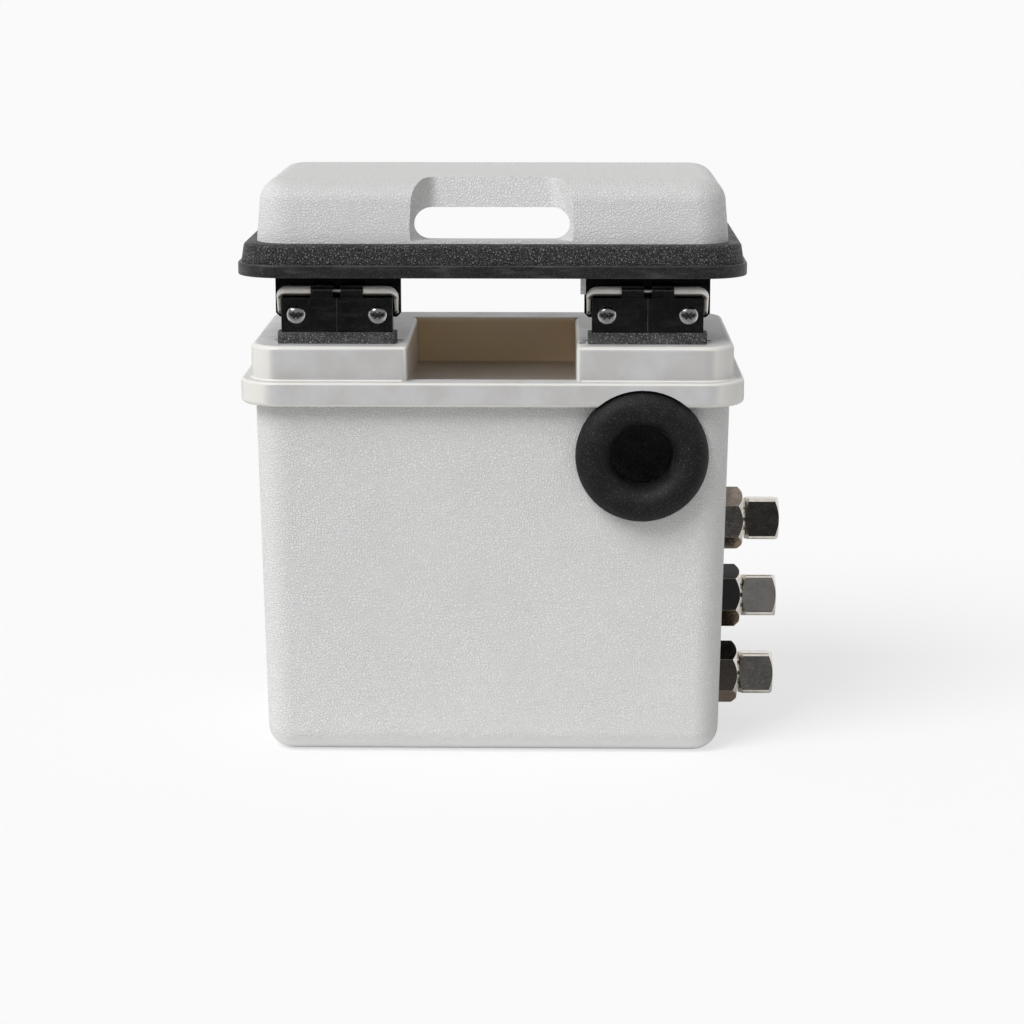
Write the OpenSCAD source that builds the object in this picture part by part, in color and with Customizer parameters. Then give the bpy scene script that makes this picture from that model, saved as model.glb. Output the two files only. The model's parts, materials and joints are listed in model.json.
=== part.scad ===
// Battery storage case: a moulded tub with a raised top deck, and a lid that lifts on two sliding front hinges.
// Millimetres, +Z up, +X to the right as the front is faced, +Y away from the front.
// The origin is the centre of the flat underside. The lid is drawn raised and level.

/* [Case] */
// Width over the flange of the top frame
case_w = 292; // [276:1:340]
// Depth over the flange of the top frame
case_d = 166; // [160:1:220]
// Corner radius of the flange, seen from above
flange_r = 25; // [22:0.5:34]
// Height of the tub below the flange
tub_h = 209; // [190:1:280]
// How far the tub's top edge sits inside the flange
tub_inset = 8; // [7.5:0.1:9]
// How far each side of the tub draws in towards the bottom
tub_draft = 4; // [2:0.5:6]
// Radius of the tub's vertical corners
tub_r = 20; // [17:0.5:30]
// Radius of the tub's bottom edges
foot_r = 14; // [8:0.5:18]
// Wall thickness of the tub
tub_wall = 3; // [2.4:0.1:4]

/* [Top frame] */
// Height of the flange
flange_h = 15; // [14.5:0.1:20]
// Thickness of the flange's outer skirt
skirt_t = 2.6; // [2:0.1:3]
// Height of the collar above the flange
collar_h = 20.3; // [18:0.1:26]
// How far the collar sits inside the flange
collar_inset = 6.2; // [5.8:0.1:7]
// Radius along the top edges of the collar
collar_edge_r = 3; // [1.5:0.1:4]
// Thickness of the deck and of the channel's walls
deck_t = 3; // [2.4:0.1:4]
// Width of the hand channel between the two ledges
channel_w = 97; // [85:1:99]
// Depth of the channel's floor below the top of the flange
channel_drop = 7; // [4:0.5:9]
// Width of the strip left between the channel and the back of the collar
back_strip = 28; // [20:0.5:45]

/* [Lid] */
// How far the lid stands above its closed seat
lift = 56.8; // [45:0.1:60]
// Gap between the closed lid's edge trim and the flange
seat_gap = 3.2; // [3.2:0.1:6]
// Height of the lid's black rim
rim_h = 18.7; // [18.7:0.1:26]
// Height of the soft edge trim at the bottom of the rim
trim_h = 7.4; // [6:0.1:10]
// How far the edge trim stands out past the flange
trim_out = 0.5; // [0.1:0.1:1]
// Running gap between the rim and the collar
rim_gap = 0.7; // [0.5:0.1:1.2]
// Height of the lid over all
lid_h = 55; // [55:1:90]
// How far the lid shell sits inside the flange
shell_inset = 10; // [9:0.5:10]
// Wall thickness of the lid shell
shell_wall = 3; // [2.4:0.1:3.2]
// Radius along the top edges of the lid
shell_edge_r = 14; // [8:0.5:16]
// Draft of the lid's sides
shell_draft = 5; // [2:0.5:6]

/* [Handle] */
// Width of the hand recess at its mouth
recess_w = 99.4; // [90:0.2:102]
// Depth of the hand recess
recess_depth = 10; // [6:0.5:11]
// Length of the hand slot
slot_l = 89; // [70:1:92]
// Height of the hand slot
slot_h = 17.8; // [14:0.2:20]
// Width of the open arch at the back of the lid
arch_w = 108; // [90:1:112]

/* [Hinges] */
// Distance from the middle of the case to the middle of each hinge
hinge_x = 89.5; // [89:0.1:91]
// Width of the hinge block
block_w = 64.2; // [60:0.2:64.2]
// Depth of the hinge block, front to back
block_d = 9; // [8.5:0.1:9.4]
// Height of the hinge block's foot
foot_h = 6.5; // [5:0.1:7]
// Height of the pivot bar above the deck
pivot_h = 29.8; // [29:0.1:31]
// Distance from the front of the flange to the pivot bar
pivot_back = 23; // [23:0.1:24.5]
// Diameter of the pivot bar
bar_d = 5.8; // [5:0.1:6]
// Diameter of the bail's arms and pins
arm_d = 2.2; // [2:0.1:2.4]
// Spacing of the two screws in a hinge block
screw_gap = 47; // [40:0.5:48]
// Diameter of a hinge screw's domed head
screw_head_d = 10.6; // [9:0.1:11]
// Width of the lid bracket
bracket_w = 72.8; // [72.8:0.1:73.4]
// Thickness of the lid bracket
bracket_t = 3; // [2.5:0.1:3]

/* [Cable entries] */
// Outside diameter of the rubber grommet
grommet_d = 77; // [70:1:77]
// Diameter of the cable hole through the grommet
grommet_bore = 36; // [24:1:40]
// Distance of the grommet to the right of the middle
grommet_x = 86.6; // [70:0.2:88]
// Depth of the grommet's centre below the flange
grommet_drop = 28; // [27:0.5:60]
// Height of the lowest gland above the base
gland_z = 32; // [24:0.5:45]
// Spacing of the glands
gland_step = 48.3; // [42:0.1:52]
// Width across the flats of a gland's hexagon
gland_af = 33; // [30:0.5:34]
// Length of a gland's hexagon
gland_hex_l = 12.4; // [9:0.1:14]
// Width of a gland's square cap
cap_w = 24.7; // [23:0.1:26]
// Length of a gland's square cap
cap_l = 20.4; // [18:0.1:24]
// Diameter of the cable hole in a gland
cable_d = 10; // [6:0.5:10]

/* [Hidden] */

$fn = 48;
// Segments of the circles that are children of a hull
soft = 32;
// Thickness of the thin slices that a rounded shell is spanned over
slice = 0.02;
// Reach of a cut past the face that it opens
past = 1;
// Angle between the slices that follow a rounded edge
edge_step = 18;

// Colours
grain_grey = [0.78, 0.78, 0.77];
frame_grey = [0.82, 0.80, 0.77];
rubber_black = [0.07, 0.07, 0.07];
rim_black = [0.15, 0.15, 0.15];
gloss_black = [0.04, 0.04, 0.04];
steel = [0.75, 0.75, 0.74];
nickel = [0.62, 0.60, 0.57];

// Levels of the case
flange_top = tub_h + flange_h;
deck_top = flange_top + collar_h;
// The tub's out-turned lip and the seal on it lie inside the flange's skirt
lip_t = 3;
seal_t = 2;
flange_plate_t = 6;
seal_top = flange_top - flange_plate_t;
tub_top = seal_top - seal_t;
lip_gap = 0.4;
lip_inset = skirt_t + lip_gap;
opening_inset = tub_inset + tub_wall;

// Screws that clamp the frame to the lip, driven up from inside the skirt
frame_screw_d = 3;
frame_screw_head_d = 4.4;
frame_screw_head_h = 2.2;
frame_screw_l = 9.5;
screw_inset = (tub_inset + skirt_t) / 2;
frame_screw_xs = [-115, -38, 38, 115];
frame_screw_ys = [-36, 36];
// Clearance of a screw in its hole, on the diameter
screw_fit = 0.3;

// Lid levels, measured from the bottom of the lid
lid_z = flange_top + seat_gap + lift;
web_t = rim_h + seat_gap - collar_h - 0.3;
rim_inner_inset = collar_inset - rim_gap;
tongue_t = 1.6;
rim_out_inset = 1.5;
rim_edge_r = 2.6;
shell_floor_t = 1.7;
roof_pad_t = 3;

// Hinge geometry
pivot_y = -case_d / 2 + pivot_back;
pivot_z = deck_top + pivot_h;
block_front = pivot_y - 5.1;
block_back = block_front + block_d;
block_top = pivot_z - 3.5;
foot_w = block_w + 4.4;
foot_front = block_front - 1.9;
post_t = 2;
knuckle_r = 4.2;
knuckle_in = 2.3;
knuckle_out = 15.1;
pivot_fit = 0.3;
block_screw_d = 4;
// Head of the screws that aren't seen, its diameter and height
flat_head_d = 7.6;
flat_head_h = 2.4;
// Radius of a domed head and width of its cross recess
dome_r = 8;
cross_w = 5.2;
block_screw_h = 16.5;
dome_h = 2.2;
bracket_front = block_back + post_t + 1.5;
bracket_back = bracket_front + bracket_t;
arm_x = block_w / 2 + 1.8;
arm_y = bracket_front - arm_d / 2 - 0.5;
pin_z = pivot_z - 13;
pin_gap = 0.3;
bracket_bottom = pin_z - 3;
bracket_top = lid_z + lid_h - shell_wall - roof_pad_t;
tab_d = 15;
bracket_gap = 0.8;
bracket_screw_d = 4;
bracket_screw_gap = 40;

// The guide tab under the lid, beside the hand recess
guide_x = 50.8;
guide_w = 3;
guide_y = -64;
guide_d = 8;
guide_gap = 0.4;
guide_drop = 12.7;

// Cable entries
grommet_tube_r = (grommet_d - grommet_bore) / 4;
grommet_proud = 3;
grommet_hole_d = grommet_bore + 15.6;
grommet_lip_d = grommet_hole_d + 10;
relief_gap = 0.5;
stem_d = 22;
stem_fit = 0.4;
grommet_z = tub_h - grommet_drop;
locknut_af = 30;
locknut_t = 5;
neck_l = 1.4;
spigot_d = 15;
spigot_fit = 0.6;
spigot_l = 11;
cap_lip_t = 3.7;
cap_corner_r = 2.2;
// Length along the axis of the cone that takes the corners off a nut
cone_l = 2.8;
washer_t = 0.9;
// Turn of each hexagon and each cap about its own axis, bottom gland first
hex_turns = [-7, -14.5, -3.7];
cap_turns = [-10, -14, -8.3];

// Slices of an edge rounded at the top, each a height and an inset
function round_top(z, r, inset) =
    [for (a = [0:edge_step:90]) [z - r + r * sin(a), inset + r * (1 - cos(a))]];

// Slices of an edge rounded at the bottom, each a height and an inset
function round_bottom(z, r, inset) =
    [for (a = [0:edge_step:90]) [z + r - r * sin(a), inset + r * (1 - cos(a))]];

// How far the tub's wall has drawn in at a height
function draw_in(z) = tub_draft * (tub_top - z) / (tub_top - foot_r);

// Outside of the tub's right wall at a height
function wall_x(z) = case_w / 2 - tub_inset - draw_in(z);

// Outside of the tub's front wall at a height
function wall_y(z) = -case_d / 2 + tub_inset + draw_in(z);

// Height of a gland, counted from the bottom
function gland_height(n) = gland_z + n * gland_step;

// Inner face of a gland's hexagon: clear of the wall at the hexagon's top corner
function hex_face(n) = wall_x(gland_height(n) + gland_af / 2) + washer_t;

// A rectangle with round corners, inset from the flange's outline
module outline(inset, r) {
    w = case_w - 2 * inset;
    d = case_d - 2 * inset;
    for (sx = [-1, 1], sy = [-1, 1])
        translate([sx * (w / 2 - r), sy * (d / 2 - r)])
            circle(r);
    square([w - 2 * r, d], center = true);
    square([w, d - 2 * r], center = true);
}

// A solid spanned over slices that follow the flange's outline
module spanned(slices, r, base_inset = 0) {
    hull()
        for (s = slices)
            translate([0, 0, s[0] - slice / 2])
                linear_extrude(slice)
                    outline(s[1], max(r - s[1] + base_inset, 2), $fn = soft);
}

// A block from one corner to the opposite one
module block(low, high) {
    translate(low)
        cube(high - low);
}

// A round bar between two points, with a ball at its start
module rod(from, to, d) {
    v = to - from;
    l = norm(v);
    translate(from) {
        rotate([0, acos(v[2] / l), atan2(v[1], v[0])])
            cylinder(d = d, h = l);
        sphere(d = d * 1.12);
    }
}

// ---- Tub ----

// The space that the tub's outside fills
module tub_outer() {
    spanned(concat([[tub_top - slice / 2, tub_inset]],
        round_bottom(slice / 2, foot_r, tub_inset + tub_draft)), tub_r, tub_inset);
}

// The space inside the tub
module tub_inner() {
    spanned(concat([[tub_top + past, tub_inset + tub_wall]],
        round_bottom(tub_wall, foot_r - tub_wall, tub_inset + tub_draft + tub_wall)),
        tub_r - tub_wall, tub_inset + tub_wall);
}

// The round space that the grommet's donut needs in the flange
module grommet_relief() {
    translate([grommet_x, wall_y(tub_top) - 0.2, grommet_z])
        rotate([90, 0, 0])
            cylinder(d = grommet_d + 2 * relief_gap, h = tub_inset + 2 * past);
}

// Places its children on each frame screw's axis
module at_frame_screws() {
    for (x = frame_screw_xs, side = [-1, 1])
        if (side > 0 || abs(x - grommet_x) > grommet_d / 2 + frame_screw_head_d)
            translate([x, side * (case_d / 2 - screw_inset), 0])
                children();
    for (y = frame_screw_ys, side = [-1, 1])
        translate([side * (case_w / 2 - screw_inset), y, 0])
            children();
}

// Places its children on a gland's axis, with their Z along the axis and 0 at the hexagon's inner face
module on_gland(n, turn) {
    translate([hex_face(n), 0, gland_height(n)])
        rotate([turn, 0, 0])
            rotate([0, 90, 0])
                children();
}

module tub() {
    color(grain_grey)
        difference() {
            union() {
                difference() {
                    tub_outer();
                    tub_inner();
                }
                difference() {
                    translate([0, 0, tub_top - lip_t])
                        linear_extrude(lip_t)
                            difference() {
                                outline(lip_inset, flange_r - lip_inset);
                                outline(tub_inset + 1, tub_r - 1);
                            }
                    grommet_relief();
                    at_frame_screws()
                        cylinder(d = frame_screw_d + screw_fit, h = tub_top + past);
                }
            }
            for (n = [0:2])
                translate([wall_x(gland_height(n)) - 20, 0, gland_height(n)])
                    rotate([0, 90, 0])
                        cylinder(d = stem_d + stem_fit, h = 40);
            translate([grommet_x, wall_y(grommet_z) + 10, grommet_z])
                rotate([90, 0, 0])
                    cylinder(d = grommet_hole_d, h = 20);
        }
}

// ---- Top frame ----

// The slots in the deck that the lid's brackets drop through
module bracket_slots() {
    for (side = [-1, 1])
        translate([side * hinge_x, 0, 0])
            block([-bracket_w / 2 - bracket_gap, bracket_front - bracket_gap, flange_top],
                [bracket_w / 2 + bracket_gap, bracket_back + bracket_gap, deck_top + past]);
}

// The guide tab's slot in the deck
module tab_slot() {
    block([guide_x - guide_gap, guide_y - guide_gap, tub_h],
        [guide_x + guide_w + guide_gap, guide_y + guide_d + guide_gap, deck_top + past]);
}

// A cut along X that leaves a rounded edge at its origin, for an edge that faces -X and +Z
module edge_cut(l, r) {
    translate([0, l / 2, 0])
        rotate([90, 0, 0])
            linear_extrude(l)
                difference() {
                    translate([-past, -r])
                        square([r + past, r + past]);
                    translate([r, -r])
                        circle(r);
                }
}

// The hand channel between the ledges
module channel_cut() {
    half_d = case_d / 2 - collar_inset;
    back = half_d - back_strip;
    block([-channel_w / 2, -case_d / 2 + opening_inset + deck_t, flange_top - channel_drop],
        [channel_w / 2, back, deck_top + past]);
    block([-channel_w / 2, -half_d - past, flange_top], [channel_w / 2, back, deck_top + past]);
    for (side = [-1, 1])
        translate([side * channel_w / 2, 0, 0])
            scale([side, 1, 1]) {
                translate([0, back - half_d - past, deck_top])
                    edge_cut(2 * half_d, collar_edge_r);
                translate([0, -half_d, deck_top])
                    rotate([90, 0, 0])
                        edge_cut(2 * collar_h, collar_edge_r);
            }
    translate([0, back, deck_top])
        rotate([0, 0, 90])
            edge_cut(channel_w, collar_edge_r);
}

module top_frame() {
    half_d = case_d / 2 - collar_inset;
    channel_back = half_d - back_strip;
    floor_z = flange_top - channel_drop;
    box_front = -case_d / 2 + opening_inset + 0.5;
    color(frame_grey)
        difference() {
            union() {
                difference() {
                    union() {
                        spanned(concat([[tub_h + slice / 2, 4], [tub_h + 1.6, 1.4], [tub_h + 3.2, 0]],
                            round_top(flange_top - slice / 2, 1.8, 0)), flange_r);
                        spanned(concat([[seal_top + past, collar_inset]],
                            round_top(deck_top - slice / 2, collar_edge_r, collar_inset)), flange_r);
                    }
                    translate([0, 0, tub_h - past])
                        linear_extrude(seal_top - tub_h + past)
                            outline(skirt_t, flange_r - skirt_t);
                    translate([0, 0, seal_top - past])
                        linear_extrude(deck_top - deck_t - seal_top + past)
                            outline(opening_inset, tub_r - tub_wall);
                }
                block([-channel_w / 2 - deck_t, box_front - 1, seal_top + 0.5],
                    [channel_w / 2 + deck_t, channel_back + deck_t, deck_top - deck_t / 2]);
                block([-channel_w / 2 - deck_t, box_front, floor_z - deck_t],
                    [channel_w / 2 + deck_t, channel_back + deck_t, seal_top + past]);
            }
            channel_cut();
            bracket_slots();
            tab_slot();
            grommet_relief();
            at_frame_screws()
                cylinder(d = frame_screw_d, h = tub_top - lip_t + frame_screw_l);
            at_foot_screws()
                cylinder(d = block_screw_d + screw_fit, h = deck_top + past);
        }
}

module frame_seal() {
    color(rubber_black)
        difference() {
            translate([0, 0, tub_top])
                linear_extrude(seal_t)
                    difference() {
                        outline(lip_inset, flange_r - lip_inset);
                        outline(opening_inset, tub_r - tub_wall);
                    }
            grommet_relief();
            at_frame_screws()
                cylinder(d = frame_screw_d + screw_fit, h = seal_top + past);
        }
}

module frame_screws() {
    color(steel)
        at_frame_screws()
            translate([0, 0, tub_top - lip_t]) {
                cylinder(d = frame_screw_d, h = frame_screw_l - past);
                translate([0, 0, -frame_screw_head_h])
                    cylinder(d = frame_screw_head_d, h = frame_screw_head_h);
            }
}

// ---- Hinges ----

// Places its children at the middle of a hinge, on the line of its pivot bar
module at_hinge(side) {
    translate([side * hinge_x, pivot_y, pivot_z])
        children();
}

// Places its children on the axis of each screw that holds a hinge foot from below
module at_foot_screws() {
    for (side = [-1, 1], x = [-1, 1])
        translate([side * hinge_x + x * 20, (foot_front + block_back) / 2, 0])
            children();
}

// Places its children on the axis of each screw in a hinge block, with their Z towards the front
module at_block_screws(side) {
    for (x = [-1, 1])
        translate([side * hinge_x + x * screw_gap / 2, block_front, deck_top + block_screw_h])
            rotate([90, 0, 0])
                children();
}

module hinge_foot(side) {
    base_r = 2;
    color(rim_black)
        difference() {
            union() {
                translate([side * hinge_x, 0, deck_top])
                    linear_extrude(foot_h)
                        for (x = [-1, 1], y = [foot_front + base_r, bracket_front - past - base_r]) {
                            translate([x * (foot_w / 2 - base_r), y])
                                circle(base_r);
                            translate([0, (foot_front + bracket_front - past) / 2]) {
                                square([foot_w - 2 * base_r, bracket_front - past - foot_front], center = true);
                                square([foot_w, bracket_front - past - foot_front - 2 * base_r], center = true);
                            }
                        }
                translate([side * hinge_x, 0, 0])
                    block([-screw_gap / 2 - 5, block_back, deck_top + past],
                        [screw_gap / 2 + 5, block_back + post_t, block_top - past]);
            }
            at_block_screws(side)
                translate([0, 0, -block_d - post_t - past])
                    cylinder(d = block_screw_d, h = block_d);
            at_foot_screws()
                cylinder(d = block_screw_d, h = deck_top + foot_h - past);
        }
}

module hinge_block(side) {
    color(gloss_black)
        difference() {
            union() {
                translate([side * hinge_x, 0, 0])
                    block([-block_w / 2, block_front, deck_top + foot_h], [block_w / 2, block_back, block_top]);
                at_hinge(side)
                    for (s = [-1, 1])
                        translate([s * (knuckle_in + knuckle_out) / 2, 0, 0]) {
                            rotate([0, 90, 0])
                                cylinder(r = knuckle_r, h = knuckle_out - knuckle_in, center = true);
                            block([-(knuckle_out - knuckle_in) / 2, -knuckle_r, block_top - pivot_z - past],
                                [(knuckle_out - knuckle_in) / 2, block_back - pivot_y, 0]);
                        }
            }
            at_hinge(side)
                rotate([0, 90, 0])
                    cylinder(d = bar_d + pivot_fit, h = block_w, center = true);
            at_block_screws(side)
                translate([0, 0, -block_d - past])
                    cylinder(d = block_screw_d + screw_fit, h = block_d + 2 * past);
        }
}

module block_screws(side) {
    color(steel)
        at_block_screws(side) {
            translate([0, 0, -block_d - post_t])
                cylinder(d = block_screw_d, h = block_d + post_t + slice);
            difference() {
                intersection() {
                    cylinder(d = screw_head_d, h = dome_h);
                    translate([0, 0, dome_h - dome_r])
                        sphere(r = dome_r);
                }
                for (a = [45, 135])
                    rotate([0, 0, a])
                        translate([-cross_w / 2, -0.5, 1])
                            cube([cross_w, 1, dome_h]);
            }
        }
}

module foot_screws() {
    color(steel)
        at_foot_screws()
            translate([0, 0, deck_top - deck_t]) {
                translate([0, 0, -flat_head_h])
                    cylinder(d = flat_head_d, h = flat_head_h);
                cylinder(d = block_screw_d, h = deck_t + foot_h - 2 * past);
            }
}

module hinge_bail(side) {
    elbow = [arm_x, 0, 0];
    heel = [arm_x, arm_y - pivot_y, pin_z - pivot_z];
    tip = [arm_x, bracket_back + 0.6 - pivot_y, pin_z - pivot_z];
    color(steel)
        at_hinge(side) {
            rotate([0, 90, 0])
                cylinder(d = bar_d, h = 2 * arm_x - 0.8, center = true);
            for (s = [-1, 1])
                scale([s, 1, 1]) {
                    rod(elbow, heel, arm_d);
                    rod(heel, tip, arm_d);
                }
        }
}

// ---- Lid ----

// The open arch through the back of the lid's rim and shell
module back_arch() {
    arch_top = rim_h + shell_floor_t + slot_h;
    corner_r = slot_h / 2;
    translate([0, case_d / 2 + 2 * past, lid_z])
        rotate([90, 0, 0])
            linear_extrude(shell_inset + recess_depth + shell_wall) {
                translate([-arch_w / 2, -past])
                    square([arch_w, arch_top - corner_r + past]);
                translate([-arch_w / 2 + corner_r, -past])
                    square([arch_w - 2 * corner_r, arch_top + past]);
                for (x = [-1, 1])
                    translate([x * (arch_w / 2 - corner_r), arch_top - corner_r])
                        circle(corner_r);
            }
}

// A pair of upright posts whose backs lie at a depth, for spanning the hand recess
module recess_posts(y, half_w, low, high) {
    corner = 6;
    for (x = [-1, 1])
        translate([x * (half_w - corner), y - corner, low])
            cylinder(r = corner, h = high - low, $fn = soft);
}

// The hand recess in the front of the shell, which slopes back through its top edge, grown by a wall
module recess(grow) {
    low = lid_z + rim_h + shell_floor_t - grow;
    top = lid_z + lid_h;
    mouth_y = -case_d / 2 + shell_inset - 1.5;
    back_y = mouth_y + 1.5 + recess_depth + grow;
    half_w = recess_w / 2 + grow;
    drop = 0.65 * grow;
    hull() {
        recess_posts(mouth_y, half_w + 1.5, low, top + 5);
        recess_posts(back_y, half_w - 9, low, top - 4 - drop);
        recess_posts(back_y + 11, half_w - 13, top + 0.6 - drop, top + 5);
    }
}

// The hand slot through the recess
module hand_slot() {
    r = slot_h / 2;
    translate([0, -case_d / 2 + shell_inset + 2 * recess_depth, lid_z + rim_h + shell_floor_t + r])
        rotate([90, 0, 0])
            linear_extrude(4 * recess_depth) {
                square([slot_l - 2 * r, slot_h], center = true);
                for (x = [-1, 1])
                    translate([x * (slot_l / 2 - r), 0])
                        circle(r);
            }
}

// The shell's outside, or its inside where an inset is given
module shell_form(grow, bottom) {
    top = lid_z + lid_h - grow;
    r = shell_edge_r - 2 * grow;
    lean = (lid_h - shell_edge_r - rim_h) * tan(shell_draft);
    spanned(concat([[bottom, shell_inset + grow]],
        round_top(top - slice / 2, r, shell_inset + grow + lean)), flange_r - 4, shell_inset);
}

module lid_shell() {
    base = lid_z + rim_h;
    color(grain_grey)
        difference() {
            union() {
                difference() {
                    shell_form(0, base + slice / 2);
                    shell_form(shell_wall, base - past);
                }
                intersection() {
                    shell_form(0, base + slice / 2);
                    recess(shell_wall);
                }
                for (side = [-1, 1], x = [-1, 1])
                    translate([side * hinge_x + x * bracket_screw_gap / 2, bracket_back + tab_d / 2 - 1,
                            bracket_top])
                        cylinder(d = 10, h = roof_pad_t + past);
                block([guide_x, guide_y, lid_z - guide_drop + guide_w / 2],
                    [guide_x + guide_w, guide_y + guide_d, lid_z + lid_h - shell_wall + 1]);
                translate([guide_x + guide_w / 2, guide_y + guide_d, lid_z - guide_drop + guide_w / 2])
                    rotate([90, 0, 0])
                        cylinder(d = guide_w, h = guide_d);
            }
            recess(0);
            hand_slot();
            back_arch();
            at_bracket_screws()
                cylinder(d = bracket_screw_d, h = bracket_top + roof_pad_t + 0.5);
        }
}

module lid_rim() {
    color(rim_black)
        difference() {
            union() {
                spanned(concat([[lid_z + trim_h + slice / 2, rim_out_inset]],
                    round_top(lid_z + rim_h - slice / 2, rim_edge_r, rim_out_inset + 1.3)), flange_r);
                translate([0, 0, lid_z + 1.5])
                    linear_extrude(trim_h)
                        outline(rim_inner_inset - tongue_t, flange_r - rim_inner_inset + tongue_t);
            }
            translate([0, 0, lid_z])
                linear_extrude(rim_h - web_t)
                    outline(rim_inner_inset, flange_r - rim_inner_inset);
            translate([0, 0, lid_z])
                linear_extrude(rim_h + past)
                    outline(shell_inset + shell_wall, flange_r - 4 - shell_wall);
            back_arch();
        }
}

module lid_edge_trim() {
    color(rubber_black)
        difference() {
            translate([0, 0, lid_z])
                linear_extrude(trim_h)
                    outline(-trim_out, flange_r + trim_out);
            translate([0, 0, lid_z - past])
                linear_extrude(trim_h + 2 * past)
                    outline(rim_inner_inset, flange_r - rim_inner_inset);
            translate([0, 0, lid_z + 1.5])
                linear_extrude(trim_h)
                    outline(rim_inner_inset - tongue_t, flange_r - rim_inner_inset + tongue_t);
            back_arch();
        }
}

// Places its children on the axis of each screw that holds a bracket to the roof of the lid
module at_bracket_screws() {
    for (side = [-1, 1], x = [-1, 1])
        translate([side * hinge_x + x * bracket_screw_gap / 2, bracket_back + tab_d / 2 - 1, 0])
            children();
}

module lid_bracket(side) {
    chamfer = 2.4;
    slot_r = arm_d / 2 + pin_gap / 2;
    color(gloss_black)
        difference() {
            translate([side * hinge_x, 0, 0]) {
                translate([0, bracket_back, 0])
                    rotate([90, 0, 0])
                        linear_extrude(bracket_t)
                            polygon([[-bracket_w / 2 + chamfer, bracket_bottom], [bracket_w / 2 - chamfer, bracket_bottom],
                                [bracket_w / 2, bracket_bottom + chamfer], [bracket_w / 2, bracket_top],
                                [-bracket_w / 2, bracket_top], [-bracket_w / 2, bracket_bottom + chamfer]]);
                block([-bracket_w / 2, bracket_front, bracket_top - bracket_t],
                    [bracket_w / 2, bracket_back + tab_d, bracket_top]);
            }
            for (s = [-1, 1])
                translate([side * hinge_x + s * arm_x, bracket_front - past, 0])
                    rotate([-90, 0, 0])
                        for (z = [pin_z, pin_z + lift]) {
                            translate([0, -z, 0])
                                cylinder(r = slot_r, h = bracket_t + 2 * past);
                            translate([-slot_r, -pin_z - lift, 0])
                                cube([2 * slot_r, lift, bracket_t + 2 * past]);
                        }
            at_bracket_screws()
                cylinder(d = bracket_screw_d + screw_fit, h = bracket_top + past);
        }
}

module bracket_screws() {
    color(steel)
        at_bracket_screws()
            translate([0, 0, bracket_top - bracket_t]) {
                translate([0, 0, -flat_head_h])
                    cylinder(d = flat_head_d, h = flat_head_h);
                cylinder(d = bracket_screw_d, h = bracket_t + roof_pad_t);
            }
}

// ---- Cable grommet ----

module cable_grommet() {
    bore_r = grommet_bore / 2;
    tube_x = bore_r + grommet_tube_r;
    inner_lip_t = 5;
    color(rubber_black)
        difference() {
            translate([grommet_x, wall_y(grommet_z), grommet_z])
                rotate([90, 0, 0])
                    rotate_extrude($fn = 72) {
                        intersection() {
                            translate([tube_x, grommet_proud])
                                circle(grommet_tube_r);
                            translate([bore_r, -past])
                                square([grommet_d, grommet_d]);
                        }
                        translate([bore_r, -tub_wall - inner_lip_t])
                            square([(grommet_hole_d - 0.4) / 2 - bore_r, tub_wall + inner_lip_t + grommet_proud]);
                        translate([bore_r, -tub_wall - inner_lip_t])
                            square([grommet_lip_d / 2 - bore_r, inner_lip_t + past]);
                    }
            difference() {
                tub_outer();
                tub_inner();
                translate([grommet_x, wall_y(grommet_z) + 10, grommet_z])
                    rotate([90, 0, 0])
                        cylinder(d = grommet_hole_d - 0.4, h = 20);
            }
            block([0, wall_y(tub_top) - 2 * relief_gap, tub_top - lip_t - relief_gap],
                [case_w / 2, 0, flange_top]);
        }
}

// ---- Glands ----

// A turned form that takes the corners off a nut at its outer end, and at its inner end if asked
module turned(corner_r, l, cut, both) {
    rotate_extrude()
        polygon([[0, 0], [corner_r - (both ? cut : 0), 0], [corner_r, both ? cone_l : 0],
            [corner_r, l - cone_l], [corner_r - cut, l], [0, l]]);
}

module gland_body(n) {
    stem_l = hex_face(n) - wall_x(gland_height(n) - gland_af / 2) + tub_wall + locknut_t + 3;
    corner_r = gland_af / 2 / cos(30);
    color(nickel)
        on_gland(n, hex_turns[n])
            difference() {
                union() {
                    intersection() {
                        cylinder(r = corner_r, h = gland_hex_l, $fn = 6);
                        turned(corner_r, gland_hex_l, 2.6, false);
                    }
                    translate([0, 0, -stem_l])
                        cylinder(d = stem_d, h = stem_l + past);
                    cylinder(d = spigot_d, h = gland_hex_l + neck_l + spigot_l);
                }
                translate([0, 0, -stem_l - past])
                    cylinder(d = cable_d + 0.5, h = stem_l + gland_hex_l + neck_l + spigot_l + 2 * past);
            }
}

module gland_washer(n) {
    color(rubber_black)
        difference() {
            on_gland(n, 0)
                translate([0, 0, -3])
                    difference() {
                        cylinder(d = gland_af - 1.5, h = 3);
                        translate([0, 0, -past])
                            cylinder(d = stem_d + stem_fit, h = 3 + 2 * past);
                    }
            tub_outer();
        }
}

module gland_locknut(n) {
    inner_face = wall_x(gland_height(n) - gland_af / 2) - tub_wall - hex_face(n);
    color(nickel)
        on_gland(n, 15)
            translate([0, 0, inner_face - locknut_t])
                difference() {
                    cylinder(d = locknut_af / cos(30), h = locknut_t, $fn = 6);
                    translate([0, 0, -past])
                        cylinder(d = stem_d + 0.1, h = locknut_t + 2 * past);
                }
}

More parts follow.
